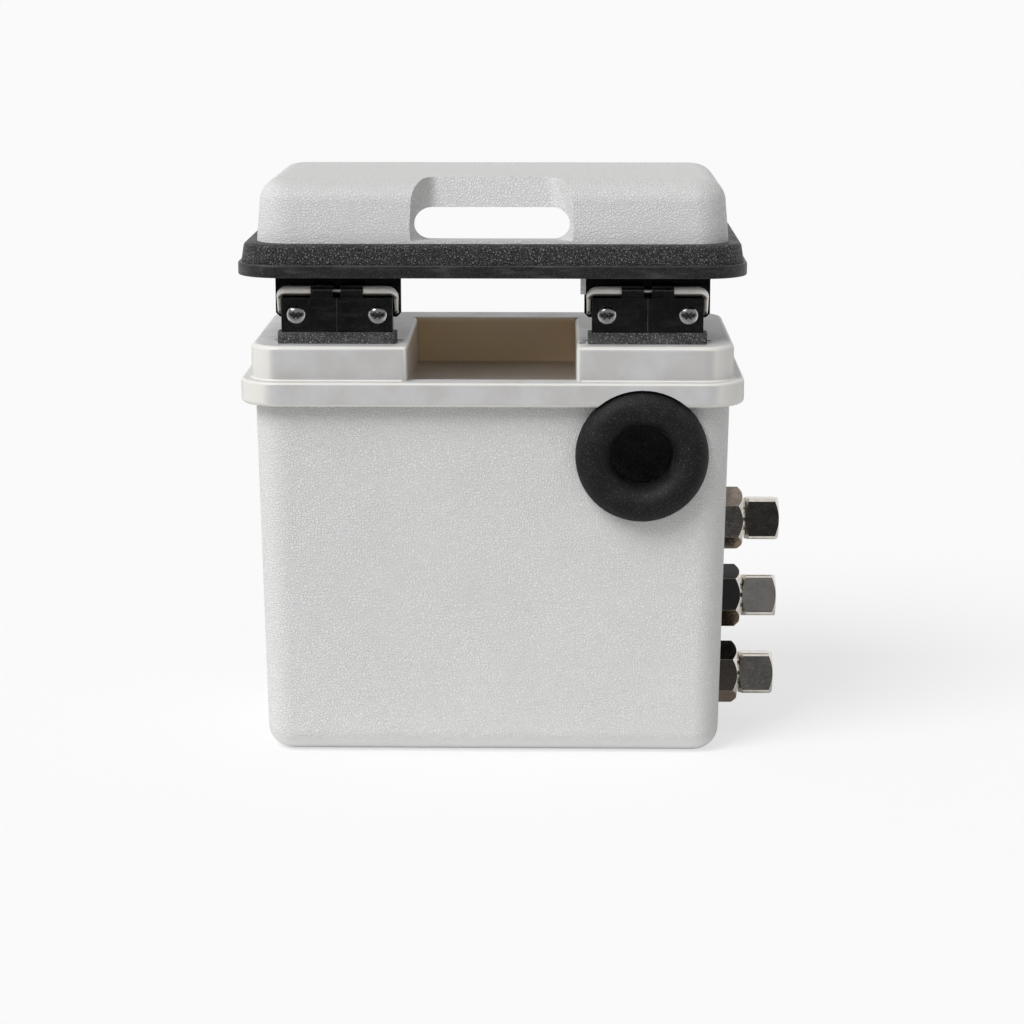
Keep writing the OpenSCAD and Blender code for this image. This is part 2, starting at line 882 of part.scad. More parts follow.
module gland_cap(n) {
    start = gland_hex_l + neck_l;
    color(nickel)
        on_gland(n, cap_turns[n])
            translate([0, 0, start])
                difference() {
                    intersection() {
                        linear_extrude(cap_l) {
                            square([cap_w, cap_w - 2 * cap_corner_r], center = true);
                            square([cap_w - 2 * cap_corner_r, cap_w], center = true);
                            for (x = [-1, 1], y = [-1, 1])
                                translate([x, y] * (cap_w / 2 - cap_corner_r))
                                    circle(cap_corner_r, $fn = 24);
                        }
                        turned(cap_w * 0.69, cap_l, cap_w * 0.19, true);
                    }
                    translate([0, 0, -past])
                        cylinder(d = spigot_d + spigot_fit, h = cap_l - cap_lip_t + past);
                    cylinder(d = cable_d + 0.5, h = cap_l + past);
                }
}

module gland_bush(n) {
    start = gland_hex_l + neck_l + spigot_l + 0.3;
    bush_l = gland_hex_l + neck_l + cap_l - cap_lip_t - start;
    color(rubber_black)
        on_gland(n, 0)
            translate([0, 0, start])
                difference() {
                    cylinder(d = spigot_d + spigot_fit - 0.2, h = bush_l);
                    translate([0, 0, -past])
                        cylinder(d = cable_d, h = bush_l + 2 * past);
                }
}

tub();
top_frame();
frame_seal();
frame_screws();
hinge_foot(-1);  // hinge_foot_left
hinge_foot(1);  // hinge_foot_right
hinge_block(-1);  // hinge_block_left
hinge_block(1);  // hinge_block_right
block_screws(-1);  // block_screws_left
block_screws(1);  // block_screws_right
foot_screws();
hinge_bail(-1);  // hinge_bail_left
hinge_bail(1);  // hinge_bail_right
lid_shell();
lid_rim();
lid_edge_trim();
lid_bracket(-1);  // lid_bracket_left
lid_bracket(1);  // lid_bracket_right
bracket_screws();
cable_grommet();
gland_body(2);  // gland_body_top
gland_body(1);  // gland_body_middle
gland_body(0);  // gland_body_bottom
gland_washer(2);  // gland_washer_top
gland_washer(1);  // gland_washer_middle
gland_washer(0);  // gland_washer_bottom
gland_locknut(2);  // gland_locknut_top
gland_locknut(1);  // gland_locknut_middle
gland_locknut(0);  // gland_locknut_bottom
gland_cap(2);  // gland_cap_top
gland_cap(1);  // gland_cap_middle
gland_cap(0);  // gland_cap_bottom
gland_bush(2);  // gland_bush_top
gland_bush(1);  // gland_bush_middle
gland_bush(0);  // gland_bush_bottom
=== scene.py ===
"""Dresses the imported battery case: moulded shells, worn metal fittings, a studio and its camera."""

import json
import logging
import math
from dataclasses import dataclass
from enum import Enum
from typing import Callable, Iterable, Sequence, Union

import bmesh
import bpy
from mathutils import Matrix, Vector

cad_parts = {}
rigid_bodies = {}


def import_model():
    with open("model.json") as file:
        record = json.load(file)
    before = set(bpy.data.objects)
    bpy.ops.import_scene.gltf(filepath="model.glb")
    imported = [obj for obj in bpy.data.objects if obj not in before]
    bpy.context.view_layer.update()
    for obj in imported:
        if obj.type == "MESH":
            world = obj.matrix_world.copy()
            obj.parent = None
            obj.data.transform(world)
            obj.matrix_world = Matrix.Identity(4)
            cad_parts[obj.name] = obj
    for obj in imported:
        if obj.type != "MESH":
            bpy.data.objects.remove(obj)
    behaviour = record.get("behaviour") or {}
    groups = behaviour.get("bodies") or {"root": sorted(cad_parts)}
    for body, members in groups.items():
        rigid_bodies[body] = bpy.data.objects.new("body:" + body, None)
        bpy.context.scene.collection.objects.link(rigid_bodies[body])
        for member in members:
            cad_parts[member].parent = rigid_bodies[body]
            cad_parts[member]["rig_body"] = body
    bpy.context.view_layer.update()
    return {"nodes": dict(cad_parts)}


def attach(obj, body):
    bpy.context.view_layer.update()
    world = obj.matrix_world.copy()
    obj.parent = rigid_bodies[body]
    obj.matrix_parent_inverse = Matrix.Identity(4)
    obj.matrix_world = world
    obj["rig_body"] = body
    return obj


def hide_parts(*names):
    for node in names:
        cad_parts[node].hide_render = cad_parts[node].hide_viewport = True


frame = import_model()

LOG = logging.getLogger("battery_case")
MM = 0.001
HINGE_X = 89.5
SHARPEST = 0.4
PAST = 1.0
WELD = 0.01
NUDGE = 0.01
Point = tuple[float, float, float]
Colour = tuple[float, float, float]
Number = Union[int, float]
Flat = tuple[float, float]
Piece = bpy.types.Object


class Spot(Enum):
    """A place on the case that the CAD nodes are named for."""

    @property
    def label(self) -> str:
        """The place's name as the CAD nodes write it."""
        return self.name.lower()


class Side(Spot):
    """The two sides of the case, each with the sign of its X."""

    LEFT = -1
    RIGHT = 1


class Level(Spot):
    """The three cable glands, lowest first."""

    BOTTOM = 0
    MIDDLE = 1
    TOP = 2


class Cut(Enum):
    """What a helper solid does to the moulding it meets."""

    ADD = "UNION"
    REMOVE = "DIFFERENCE"


class Axis(Enum):
    """The way that a round bar runs."""

    X = 0
    Y = 1


# ---- Shader graph ----


class Wire:
    """One output in a material's graph, used in Python expressions on values."""

    def __init__(self, graph: "Graph", socket: bpy.types.NodeSocket) -> None:
        """Keeps the graph and the socket that carries the value."""
        self.graph = graph
        self.socket = socket

    def math(self, operation: str, first: "Operand", second: "Operand" = 0.0) -> "Wire":
        """Adds a Math node.

        Args:
            operation: the Math node's operation.
            first: its first value or link.
            second: its second value or link.

        Returns:
            The node's result.
        """
        return self.graph.wire("Math", {"operation": operation}, {0: first, 1: second})

    def __add__(self, other: "Operand") -> "Wire":
        """The sum."""
        return self.math("ADD", self, other)

    def __sub__(self, other: "Operand") -> "Wire":
        """The difference."""
        return self.math("SUBTRACT", self, other)

    def __rsub__(self, other: "Operand") -> "Wire":
        """The difference, taken from a number."""
        return self.math("SUBTRACT", other, self)

    def __mul__(self, other: "Operand") -> "Wire":
        """The product."""
        return self.math("MULTIPLY", self, other)

    def __neg__(self) -> "Wire":
        """The negative."""
        return self * -1.0

    def __abs__(self) -> "Wire":
        """The absolute value."""
        return self.math("ABSOLUTE", self)

    __radd__ = __add__
    __rmul__ = __mul__

    def most(self, other: "Operand") -> "Wire":
        """The larger of two values."""
        return self.math("MAXIMUM", self, other)

    def ramp(self, low: Number, high: Number, start: Number = 0.0, end: Number = 1.0) -> "Wire":
        """Turns the value smoothly from one number to another.

        Args:
            low: the value at which the turn starts.
            high: the value at which it ends.
            start: the result below low.
            end: the result above high.

        Returns:
            The smooth result.
        """
        inputs = {"Value": self, "From Min": low, "From Max": high, "To Min": start, "To Max": end}
        return self.graph.wire("MapRange", {"interpolation_type": "SMOOTHSTEP"}, inputs)


Operand = Union[Wire, Number]
Input = Union[Wire, Number, Sequence[float]]


def linear(shown: float) -> float:
    """Turns one part of a colour as a screen shows it into its linear value."""
    return shown / 12.92 if shown <= 0.04045 else ((shown + 0.055) / 1.055) ** 2.4


def paint(colour: Sequence[float]) -> tuple[float, float, float, float]:
    """Turns a colour as a screen shows it into the linear colour that a shader takes."""
    return *map(linear, colour), 1.0


class Graph:
    """The node graph of one material."""

    def __init__(self, tree: bpy.types.NodeTree) -> None:
        """Empties the tree, to fill it anew."""
        self.tree = tree
        tree.nodes.clear()

    def node(self, kind: str, settings: dict | None = None, inputs: dict | None = None) -> bpy.types.Node:
        """Adds any node.

        Args:
            kind: the node's type, without its ShaderNode prefix.
            settings: the node's own settings, set before its sockets.
            inputs: numbers, colours or wires, by socket name or index.

        Returns:
            The node.
        """
        made = self.tree.nodes.new("ShaderNode" + kind)
        for name, value in (settings or {}).items():
            setattr(made, name, value)
        for key, value in (inputs or {}).items():
            if isinstance(value, Wire):
                self.tree.links.new(value.socket, made.inputs[key])
            else:
                made.inputs[key].default_value = value
        return made

    def join(self, source: bpy.types.Node, target: bpy.types.NodeSocket) -> None:
        """Links a node's first output to a socket."""
        self.tree.links.new(source.outputs[0], target)

    def wire(
        self,
        kind: str,
        settings: dict | None = None,
        inputs: dict | None = None,
        output: int | str = 0,
    ) -> Wire:
        """Adds any node and gives one of its outputs, with the arguments of node()."""
        return Wire(self, self.node(kind, settings, inputs).outputs[output])

    def place(self) -> Wire:
        """The point on the part, in the frame's metres."""
        return self.wire("TexCoord", output="Object")

    def facing(self) -> list[Wire]:
        """The three parts of the surface's direction, in the part's own frame."""
        split = self.node("SeparateXYZ", {}, {0: self.wire("TexCoord", output="Normal")})
        return [Wire(self, socket) for socket in split.outputs]

    def edges(self, low: Number, high: Number) -> Wire:
        """Where the surface faces between the part's own axes, as a rounded edge does.

        Args:
            low: how far off an axis the mask starts.
            high: how far off it is full.

        Returns:
            A mask from 0 to 1.
        """
        x, y, z = (abs(part) for part in self.facing())
        return (1 - x.most(y).most(z)).ramp(low, high)

    def axes(self) -> list[Wire]:
        """The point's X, Y and Z."""
        split = self.node("SeparateXYZ", {}, {0: self.place()})
        return [Wire(self, socket) for socket in split.outputs]

    def noise(self, size: float, detail: float = 2.0, stretch: Point = (1, 1, 1)) -> Wire:
        """Cloudy noise.

        Args:
            size: the size of a cloud in metres.
            detail: how many finer layers it has.
            stretch: how much finer the noise is along each axis.

        Returns:
            A value around 0.5.
        """
        at = self.place()
        if stretch != (1, 1, 1):
            at = self.wire("VectorMath", {"operation": "MULTIPLY"}, {0: at, 1: stretch})
        return self.wire("TexNoise", {}, {"Vector": at, "Scale": 1 / size, "Detail": detail})

    def pebbles(self, size: float, wander: float = 0.35) -> Wire:
        """The distance from the nearest crease of a pebbled grain.

        Args:
            size: the size of a pebble in metres.
            wander: how far the creases bend, in pebbles.

        Returns:
            0 in a crease, and up to about 0.5 on a pebble.
        """
        bend = self.wire("TexNoise", {}, {"Vector": self.place(), "Scale": 0.7 / size}, "Color")
        reach = {0: bend, "Scale": wander * size * 2}
        shift = self.wire("VectorMath", {"operation": "SCALE"}, reach)
        at = self.wire("VectorMath", {"operation": "ADD"}, {0: self.place(), 1: shift})
        inputs = {"Vector": at, "Scale": 1 / size}
        return self.wire("TexVoronoi", {"feature": "DISTANCE_TO_EDGE"}, inputs)

    def mix(self, factor: Operand, first: Input, second: Input) -> Wire:
        """Blends two colours.

        Args:
            factor: 0 for the first, 1 for the second.
            first: a colour as a screen shows it, or a wire.
            second: a colour as a screen shows it, or a wire.

        Returns:
            The blended colour.
        """
        ends = [end if isinstance(end, Wire) else paint(end) for end in (first, second)]
        return self.wire("Mix", {"data_type": "RGBA"}, {0: factor, 6: ends[0], 7: ends[1]}, 2)

    def bump(self, height: Wire, depth: float) -> Wire:
        """Turns a height from 0 to 1 into a surface direction, depth in metres."""
        return self.wire("Bump", {}, {"Height": height, "Distance": depth, "Strength": 1.0})


# ---- Finishes ----


@dataclass(frozen=True)
class Finish:
    """A finish that several pieces share."""

    name: str
    slot: str

    def material(self) -> bpy.types.Material:
        """Makes the Blender material of this finish, once.

        Returns:
            The material.
        """
        if self.name in bpy.data.materials:
            return bpy.data.materials[self.name]
        made = bpy.data.materials.new(self.name)
        made.use_nodes = True
        graph = Graph(made.node_tree)
        shader = graph.node("BsdfPrincipled", {}, self.surface(graph))
        graph.join(shader, graph.node("OutputMaterial").inputs["Surface"])
        return made

    def surface(self, graph: Graph) -> dict:
        """Works out the shader's inputs, in each finish's own way.

        Args:
            graph: the material's graph.

        Returns:
            Numbers or wires, by the names of the shader's sockets.
        """
        raise NotImplementedError


@dataclass(frozen=True)
class GrainedShell(Finish):
    """Pale grey moulding with a fine leather grain that fades out just above the floor, with painted
    shade in the grain's creases, on upward faces and on right-facing sides, and painted light on
    left-facing sides.
    """

    colour: Colour = (0.865, 0.865, 0.862)
    # crease: the darker colour painted into the grain's creases as shade; also the dark end of the random
    # clouds
    crease: Colour = (0.74, 0.74, 0.735)
    # painted shade: the darker colour of upward faces
    painted_top_shade: Colour = (0.79, 0.79, 0.785)
    # near: painted light, the lighter colour of left-facing (-X) sides; far: painted shade, the darker
    # colour of right-facing (+X) sides
    near: Colour = (0.90, 0.90, 0.895)
    far: Colour = (0.82, 0.82, 0.812)
    pebble: float = 0.0016
    depth: float = 0.00030
    smooth_foot: Flat = (0.0, 0.008)

    def surface(self, graph: Graph) -> dict:
        """Pebbles and creases, with faint clouds in the grey, painted shade in the creases, and painted
        light and shade by facing direction.

        Args:
            graph: the material's graph.

        Returns:
            The shader's inputs.
        """
        grained = graph.axes()[2].ramp(*self.smooth_foot)
        crease = graph.pebbles(self.pebble).ramp(0.02, 0.24)
        fine = graph.noise(0.0006, 1.0)
        cloud = graph.noise(0.05, 3.0)
        worn = graph.mix(cloud.ramp(0.35, 0.7) * 0.12, self.colour, self.crease)
        across, _, upward = graph.facing()
        # painted light and shade: upward faces and right-facing sides darker, left-facing sides lighter
        tone = graph.mix(upward.ramp(0.2, 0.9), worn, self.painted_top_shade)
        tone = graph.mix(across.ramp(0.2, 0.9) * 0.8, tone, self.far)
        tone = graph.mix((-across).ramp(0.2, 0.9) * 0.8, tone, self.near)
        # painted shade: the grain's creases are darkened toward the crease colour
        colour = graph.mix((1 - crease) * grained * 0.45, tone, self.crease)
        relief = (crease * 0.75 + fine * 0.25) * grained
        return {
            "Base Color": colour,
            "Roughness": 0.40 + fine * 0.14 + (1 - crease) * 0.08,
            "Normal": graph.bump(relief, self.depth),
        }


@dataclass(frozen=True)
class SmoothFrame(Finish):
    """Smooth off-white moulding, with worn edges painted paler as a highlight, and painted warm shade
    inside the hand channel.
    """

    colour: Colour = (0.772, 0.770, 0.775)
    shade: Colour = (0.735, 0.728, 0.722)
    # edge: the paler colour of the rounded edges: wear, lightened further as a painted highlight
    edge: Colour = (0.86, 0.855, 0.835)
    # the warm colours painted inside the hand channel as shade: this one on its walls, the next on its
    # floor
    channel_wall_shade: Colour = (0.90, 0.79, 0.63)
    floor: Colour = (0.65, 0.595, 0.53)
    channel_half: float = 0.050
    channel_back: float = 0.0492
    channel_top: float = 0.2443
    sill: float = -0.070
    fade: float = 0.003

    def surface(self, graph: Graph) -> dict:
        """Faint clouds and specks, pale edges, and painted warm shade inside the channel only.

        Args:
            graph: the material's graph.

        Returns:
            The shader's inputs.
        """
        x, y, z = graph.axes()
        cloud = graph.noise(0.022, 4.0)
        speck = graph.noise(0.0011, 1.0).ramp(0.60, 0.72)
        even = graph.mix(cloud.ramp(0.38, 0.66), self.colour, self.shade)
        # painted highlight: rounded edges are lightened toward the edge colour, on top of their wear
        clean = graph.mix(graph.edges(0.01, 0.10), even, self.edge)
        flat = graph.facing()[2].ramp(0.7, 0.98)
        scuffed = graph.mix(flat * speck * 0.35, clean, self.shade)
        # painted shade inside the hand channel: masked to the channel, deeper toward the back and below
        # its top edge
        across = 1 - abs(x).ramp(self.channel_half - self.fade, self.channel_half)
        ahead = y.ramp(self.sill - 0.004, self.sill + 0.006)
        along = ahead * (1 - y.ramp(self.channel_back, self.channel_back + self.fade))
        rear = y.ramp(self.sill + 0.002, self.sill + 0.040, 0.35, 1.0)
        low = z.ramp(self.channel_top - 0.0011, self.channel_top, 1.0, 0.2)
        painted_channel_shade = across * along * rear * low * (0.70 + cloud * 0.5)
        channel_shade_colour = graph.mix(flat, self.channel_wall_shade, self.floor)
        return {
            "Base Color": graph.mix(painted_channel_shade, scuffed, channel_shade_colour),
            "Roughness": 0.34 + cloud * 0.12 + speck * 0.1,
            "Normal": graph.bump(graph.noise(0.0011, 2.0), 0.00004),
        }


@dataclass(frozen=True)
class BlackPlastic(Finish):
    """Black moulding, from glossy to pebbled, with pale specks on the pebble tops."""

    colour: Colour = (0.12, 0.12, 0.12)
    light: Colour = (0.24, 0.24, 0.24)
    pebble: float = 0.0013
    depth: float = 0.0002
    roughness: float = 0.5
    speckle: float = 0.5
    scuffed: float = 0.0
    # edge: how strongly rounded edges are painted pale as a highlight
    edge: float = 0.0
    shine: float = 0.35
    mould_lines: tuple[float, ...] = ()

    def surface(self, graph: Graph) -> dict:
        """Pebbles, specks, scuffs and, where there are any, pale edges painted as highlights and faint
        mould lines.

        Args:
            graph: the material's graph.

        Returns:
            The shader's inputs.
        """
        crease = graph.pebbles(self.pebble).ramp(0.02, 0.22)
        speck = graph.noise(self.pebble * 0.45, 1.0).ramp(0.47, 0.64)
        cloud = graph.noise(0.012, 3.0)
        relief = crease * 0.8 + speck * 0.2
        marks = crease * speck * self.speckle
        if self.scuffed:
            marks = marks.most(graph.noise(0.004, 4.0, (0.2, 1, 1)).ramp(0.45, 0.75) * self.scuffed)
        # painted highlight: rounded edges are lightened toward the light colour
        if self.edge:
            marks = marks.most(graph.edges(0.15, 0.27) * self.edge)
        if self.mould_lines:
            x = graph.axes()[0]
            for line in self.mould_lines:
                ridge = 1 - abs(x - line).ramp(0.00005, 0.00035)
                marks = marks.most(ridge * cloud.ramp(0.3, 0.6) * 0.8)
                relief = relief + ridge * 0.6
        return {
            "Base Color": graph.mix(marks, self.colour, self.light),
            "Roughness": self.roughness + (cloud - 0.5) * 0.2,
            "Specular IOR Level": self.shine,
            "Normal": graph.bump(relief, self.depth),
        }


@dataclass(frozen=True)
class MatteRubber(Finish):
    """Soft black rubber with a dusty bloom."""

    colour: Colour = (0.045, 0.045, 0.047)
    bloom: Colour = (0.27, 0.27, 0.27)

    def surface(self, graph: Graph) -> dict:
        """A fine matte skin with bloom in clouds.

        Args:
            graph: the material's graph.

        Returns:
            The shader's inputs.
        """
        cloud = graph.noise(0.009, 4.0).ramp(0.42, 0.72)
        skin = graph.noise(0.0009, 3.0)
        dust = skin.ramp(0.54, 0.70) * 0.55
        return {
            "Base Color": graph.mix(cloud * 0.12 + dust, self.colour, self.bloom),
            "Roughness": 0.60 + cloud * 0.12,
            "Specular IOR Level": 0.22,
            "Normal": graph.bump(skin, 0.00022),
        }


@dataclass(frozen=True)
class Tone:
    """A painted reflection tone on the metal where it faces one way, in degrees above the forward
    direction.
    """

    angle: float
    colour: Colour
    spread: float = 12.0

    def mask(self, graph: Graph) -> Wire:
        """How nearly the surface faces the tone's way, from 0 to 1.

        Args:
            graph: the material's graph.

        Returns:
            A mask from 0 to 1, full where the surface faces the tone's way.
        """
        _, y, z = graph.facing()
        turn, spread = math.radians(self.angle), math.radians(self.spread)
        ahead = z * math.sin(turn) - y * math.cos(turn)
        return ahead.ramp(math.cos(spread), math.cos(spread / 2))


@dataclass(frozen=True)
class Metal(Finish):
    """Bare or plated metal with fine drawn lines, stains where it is old, and painted reflection tones on
    faces turned given ways.
    """

    colour: Colour = (0.80, 0.79, 0.77)
    stain: Colour = (0.30, 0.26, 0.22)
    stained: float = 0.0
    roughness: float = 0.16
    grain: Point = (1, 1, 1)
    solid: float = 0.0
    tones: tuple[Tone, ...] = ()

    def surface(self, graph: Graph) -> dict:
        """Drawn lines in the gloss, duller faces, speckled stains and painted reflection tones.

        Args:
            graph: the material's graph.

        Returns:
            The shader's inputs.
        """
        drawn = graph.noise(0.0007, 2.0, self.grain)
        patch = graph.noise(0.006, 4.0).ramp(0.40, 0.68)
        pit = graph.noise(0.0009, 2.0).ramp(0.52, 0.66)
        dull = (patch * 0.55 + pit * 0.45) * self.stained
        tone: Input = self.colour
        # painted reflections: each tone recolours the faces turned its way
        for way in self.tones:
            tone = graph.mix(way.mask(graph), tone, way.colour)
        return {
            "Base Color": graph.mix(dull, tone, self.stain),
            "Roughness": self.roughness + drawn * 0.10 + dull * 0.35,
            "Metallic": 1 - self.solid - dull * 0.3,
            "Normal": graph.bump(drawn * 0.6 + pit * 0.4 * min(1.0, self.stained * 2), 0.00003),
        }


TUB_GRAIN = GrainedShell("grained_tub", "grained_shell", smooth_foot=(0.004, 0.012))
LID_GRAIN = GrainedShell(
    "grained_lid", "grained_shell", (0.855, 0.855, 0.858), (0.72, 0.72, 0.72), depth=0.00026
)
FRAME = SmoothFrame("dull_frame", "smooth_frame")
RIM = BlackPlastic(
    "pebbled_rim", "textured_black", (0.05, 0.05, 0.05), (0.46, 0.46, 0.46),
    pebble=0.0016, depth=0.00040, speckle=0.95,
)
TRIM = BlackPlastic(
    "edge_trim", "textured_black", (0.09, 0.09, 0.093), (0.34, 0.34, 0.34),
    pebble=0.0016, depth=0.00006, roughness=0.42, scuffed=0.45,
)
FOOT = BlackPlastic(
    "hinge_foot", "textured_black", (0.20, 0.20, 0.20), (0.60, 0.60, 0.59),
    depth=0.00035, roughness=0.6, speckle=1.0, scuffed=0.25,
)
# gloss_block: its edge setting paints highlights on the rounded edges
BLOCK = BlackPlastic(
    "gloss_block", "gloss_black", (0.05, 0.05, 0.052), (0.34, 0.34, 0.34),
    pebble=0.004, depth=0.00003, roughness=0.26, speckle=0.10, scuffed=0.16, edge=0.55,
    shine=0.5, mould_lines=(-HINGE_X * MM, HINGE_X * MM),
)
BRACKET = BlackPlastic(
    "gloss_bracket", "gloss_black", (0.04, 0.04, 0.042), (0.15, 0.15, 0.15),
    pebble=0.005, depth=0.00003, roughness=0.26, speckle=0.05,
)
RUBBER = MatteRubber("matte_rubber", "black_rubber")
DRAWN = (0.2, 1, 1)
# stainless_bail: the bar's lower half is painted grey as a darker reflection
STEEL = Metal(
    "stainless_bail", "stainless", (1.0, 0.99, 0.97), (0.40, 0.37, 0.34),
    stained=0.12, roughness=0.34, grain=(0.15, 1, 1), solid=0.8,
    tones=(Tone(-62, (0.46, 0.43, 0.40), 50),),
)
BRIGHT = Metal("bright_screw", "bright_screws", (0.90, 0.90, 0.90), stained=0.05, roughness=0.07)
# domed_screw: the dome's forward face is painted grey as a darker reflection, leaving a bright ring
DOME = Metal(
    "domed_screw", "bright_screws", (0.96, 0.96, 0.96), (0.10, 0.10, 0.10),
    stained=0.35, roughness=0.06, tones=(Tone(10, (0.45, 0.45, 0.45), 52),),
)
OLD_NICKEL = Metal(
    "old_nickel", "gland_nickel", (0.60, 0.57, 0.53), (0.20, 0.17, 0.14),
    stained=0.5, roughness=0.20, grain=DRAWN,
)
FRONT, CROWN, BELOW = 0.0, 60.0, -60.0


def nickel(name: str, turn: float, stained: float, *faces: tuple[float, Colour]) -> Metal:
    """A worn nickel finish whose flats are painted darker as reflections, so that its edges stay bright.

    Args:
        name: the finish's name.
        turn: how far the front flat leans up, in degrees.
        stained: how stained it is.
        faces: the painted reflection tones of its flats, each with the angle from the front flat.

    Returns:
        The finish.
    """
    tones = tuple(Tone(turn + angle, colour) for angle, colour in faces)
    return Metal(
        name, "gland_nickel", (0.86, 0.84, 0.81), (0.17, 0.14, 0.12), stained, grain=DRAWN, tones=tones
    )


# painted reflection tones for gland flats that face up, forward or down; the two darkest stand for dark
# reflections on upward flats
GREY_BROWN = (0.54, 0.50, 0.46)
BROWN = (0.66, 0.58, 0.50)
PAINTED_DARK_REFLECTION = (0.09, 0.09, 0.09)
PAINTED_DARKER_REFLECTION = (0.07, 0.07, 0.07)
# gland bodies: front, upward and downward flats painted as reflections
BODIES = {
    Level.TOP: nickel(
        "body_top", 3.7, 0.35, (FRONT, (0.54, 0.52, 0.50)), (CROWN, GREY_BROWN), (BELOW, BROWN)
    ),
    Level.MIDDLE: nickel(
        "body_middle", 14.5, 0.25, (FRONT, (0.15, 0.15, 0.15)), (CROWN, PAINTED_DARK_REFLECTION), (BELOW, BROWN)
    ),
    Level.BOTTOM: nickel(
        "body_bottom", 7.0, 0.30, (FRONT, (0.33, 0.31, 0.29)), (CROWN, PAINTED_DARKER_REFLECTION), (BELOW, BROWN)
    ),
}
# gland caps: front flats painted darker as reflections
CAPS = {
    Level.TOP: nickel("cap_top", 8.3, 0.30, (FRONT, (0.36, 0.345, 0.33))),
    Level.MIDDLE: nickel("cap_middle", 14.0, 0.20, (FRONT, (0.46, 0.45, 0.44))),
    Level.BOTTOM: nickel("cap_bottom", 10.0, 0.20, (FRONT, (0.56, 0.545, 0.53))),
}


# ---- Meshes ----


def bow(radius: float, start: float, end: float, steps: int) -> list[Flat]:
    """Points along an arc round the origin.

    Args:
        radius: the arc's radius.
        start: the first angle in degrees.
        end: the last angle.
        steps: how many pieces the arc has.

    Returns:
        The points in order.
    """
    turns = [math.radians(start + (end - start) * k / steps) for k in range(steps + 1)]
    return [(radius * math.cos(a), radius * math.sin(a)) for a in turns]


@dataclass(frozen=True)
class Ring:
    """One outline of a moulding: a rounded rectangle, inset from the flange's outline."""

    inset: float
    z: float
    radius: float


@dataclass(frozen=True)
class Plan:
    """The flange's outline and the case's levels in millimetres, as the CAD has them."""

    width: float = 292.0
    depth: float = 166.0
    corner: float = 25.0
    steps: int = 14
    tub_top: float = 216.0
    seal_top: float = 218.0
    flange_top: float = 224.0
    deck_top: float = 244.3
    lid_bottom: float = 284.0
    rim_top: float = 302.7
    lid_top: float = 339.0
    grommet_x: float = 86.6
    grommet_z: float = 181.0
    grommet_relief: float = 39.0
    relief_length: float = 12.0
    gland_heights: tuple[float, ...] = (32.0, 80.3, 128.6)

    def ring(self, inset: float, z: float) -> Ring:
        """A ring whose corners keep to the flange's."""
        return Ring(inset, z, self.corner - inset)

    def outline(self, ring: Ring) -> list[Point]:
        """Works out the points of a ring.

        Args:
            ring: the ring.

        Returns:
            Its points, anticlockwise from its right rear corner.
        """
        half_w = self.width / 2 - ring.inset - ring.radius
        half_d = self.depth / 2 - ring.inset - ring.radius
        points = []
        for quarter, (sx, sy) in enumerate(((1, 1), (-1, 1), (-1, -1), (1, -1))):
            start = 90 * quarter
            for x, y in bow(ring.radius, start, start + 90, self.steps):
                points.append((sx * half_w + x, sy * half_d + y, ring.z))
        return points


PLAN = Plan()


def arc(ring: Ring, radius: float, start: float, end: float, steps: int = 8) -> list[Ring]:
    """Rings along a rounded edge.

    Args:
        ring: the arc's centre, as an inset and a height, with the outline's corner radius there.
        radius: the edge's radius.
        start: the first angle in degrees, where 0 points out and 90 points up.
        end: the last angle.
        steps: how many pieces the arc has.

    Returns:
        The rings in order.
    """
    rings = []
    for out, up in bow(radius, start, end, steps):
        rings.append(Ring(ring.inset - out, ring.z + up, max(ring.radius + out, SHARPEST)))
    return rings


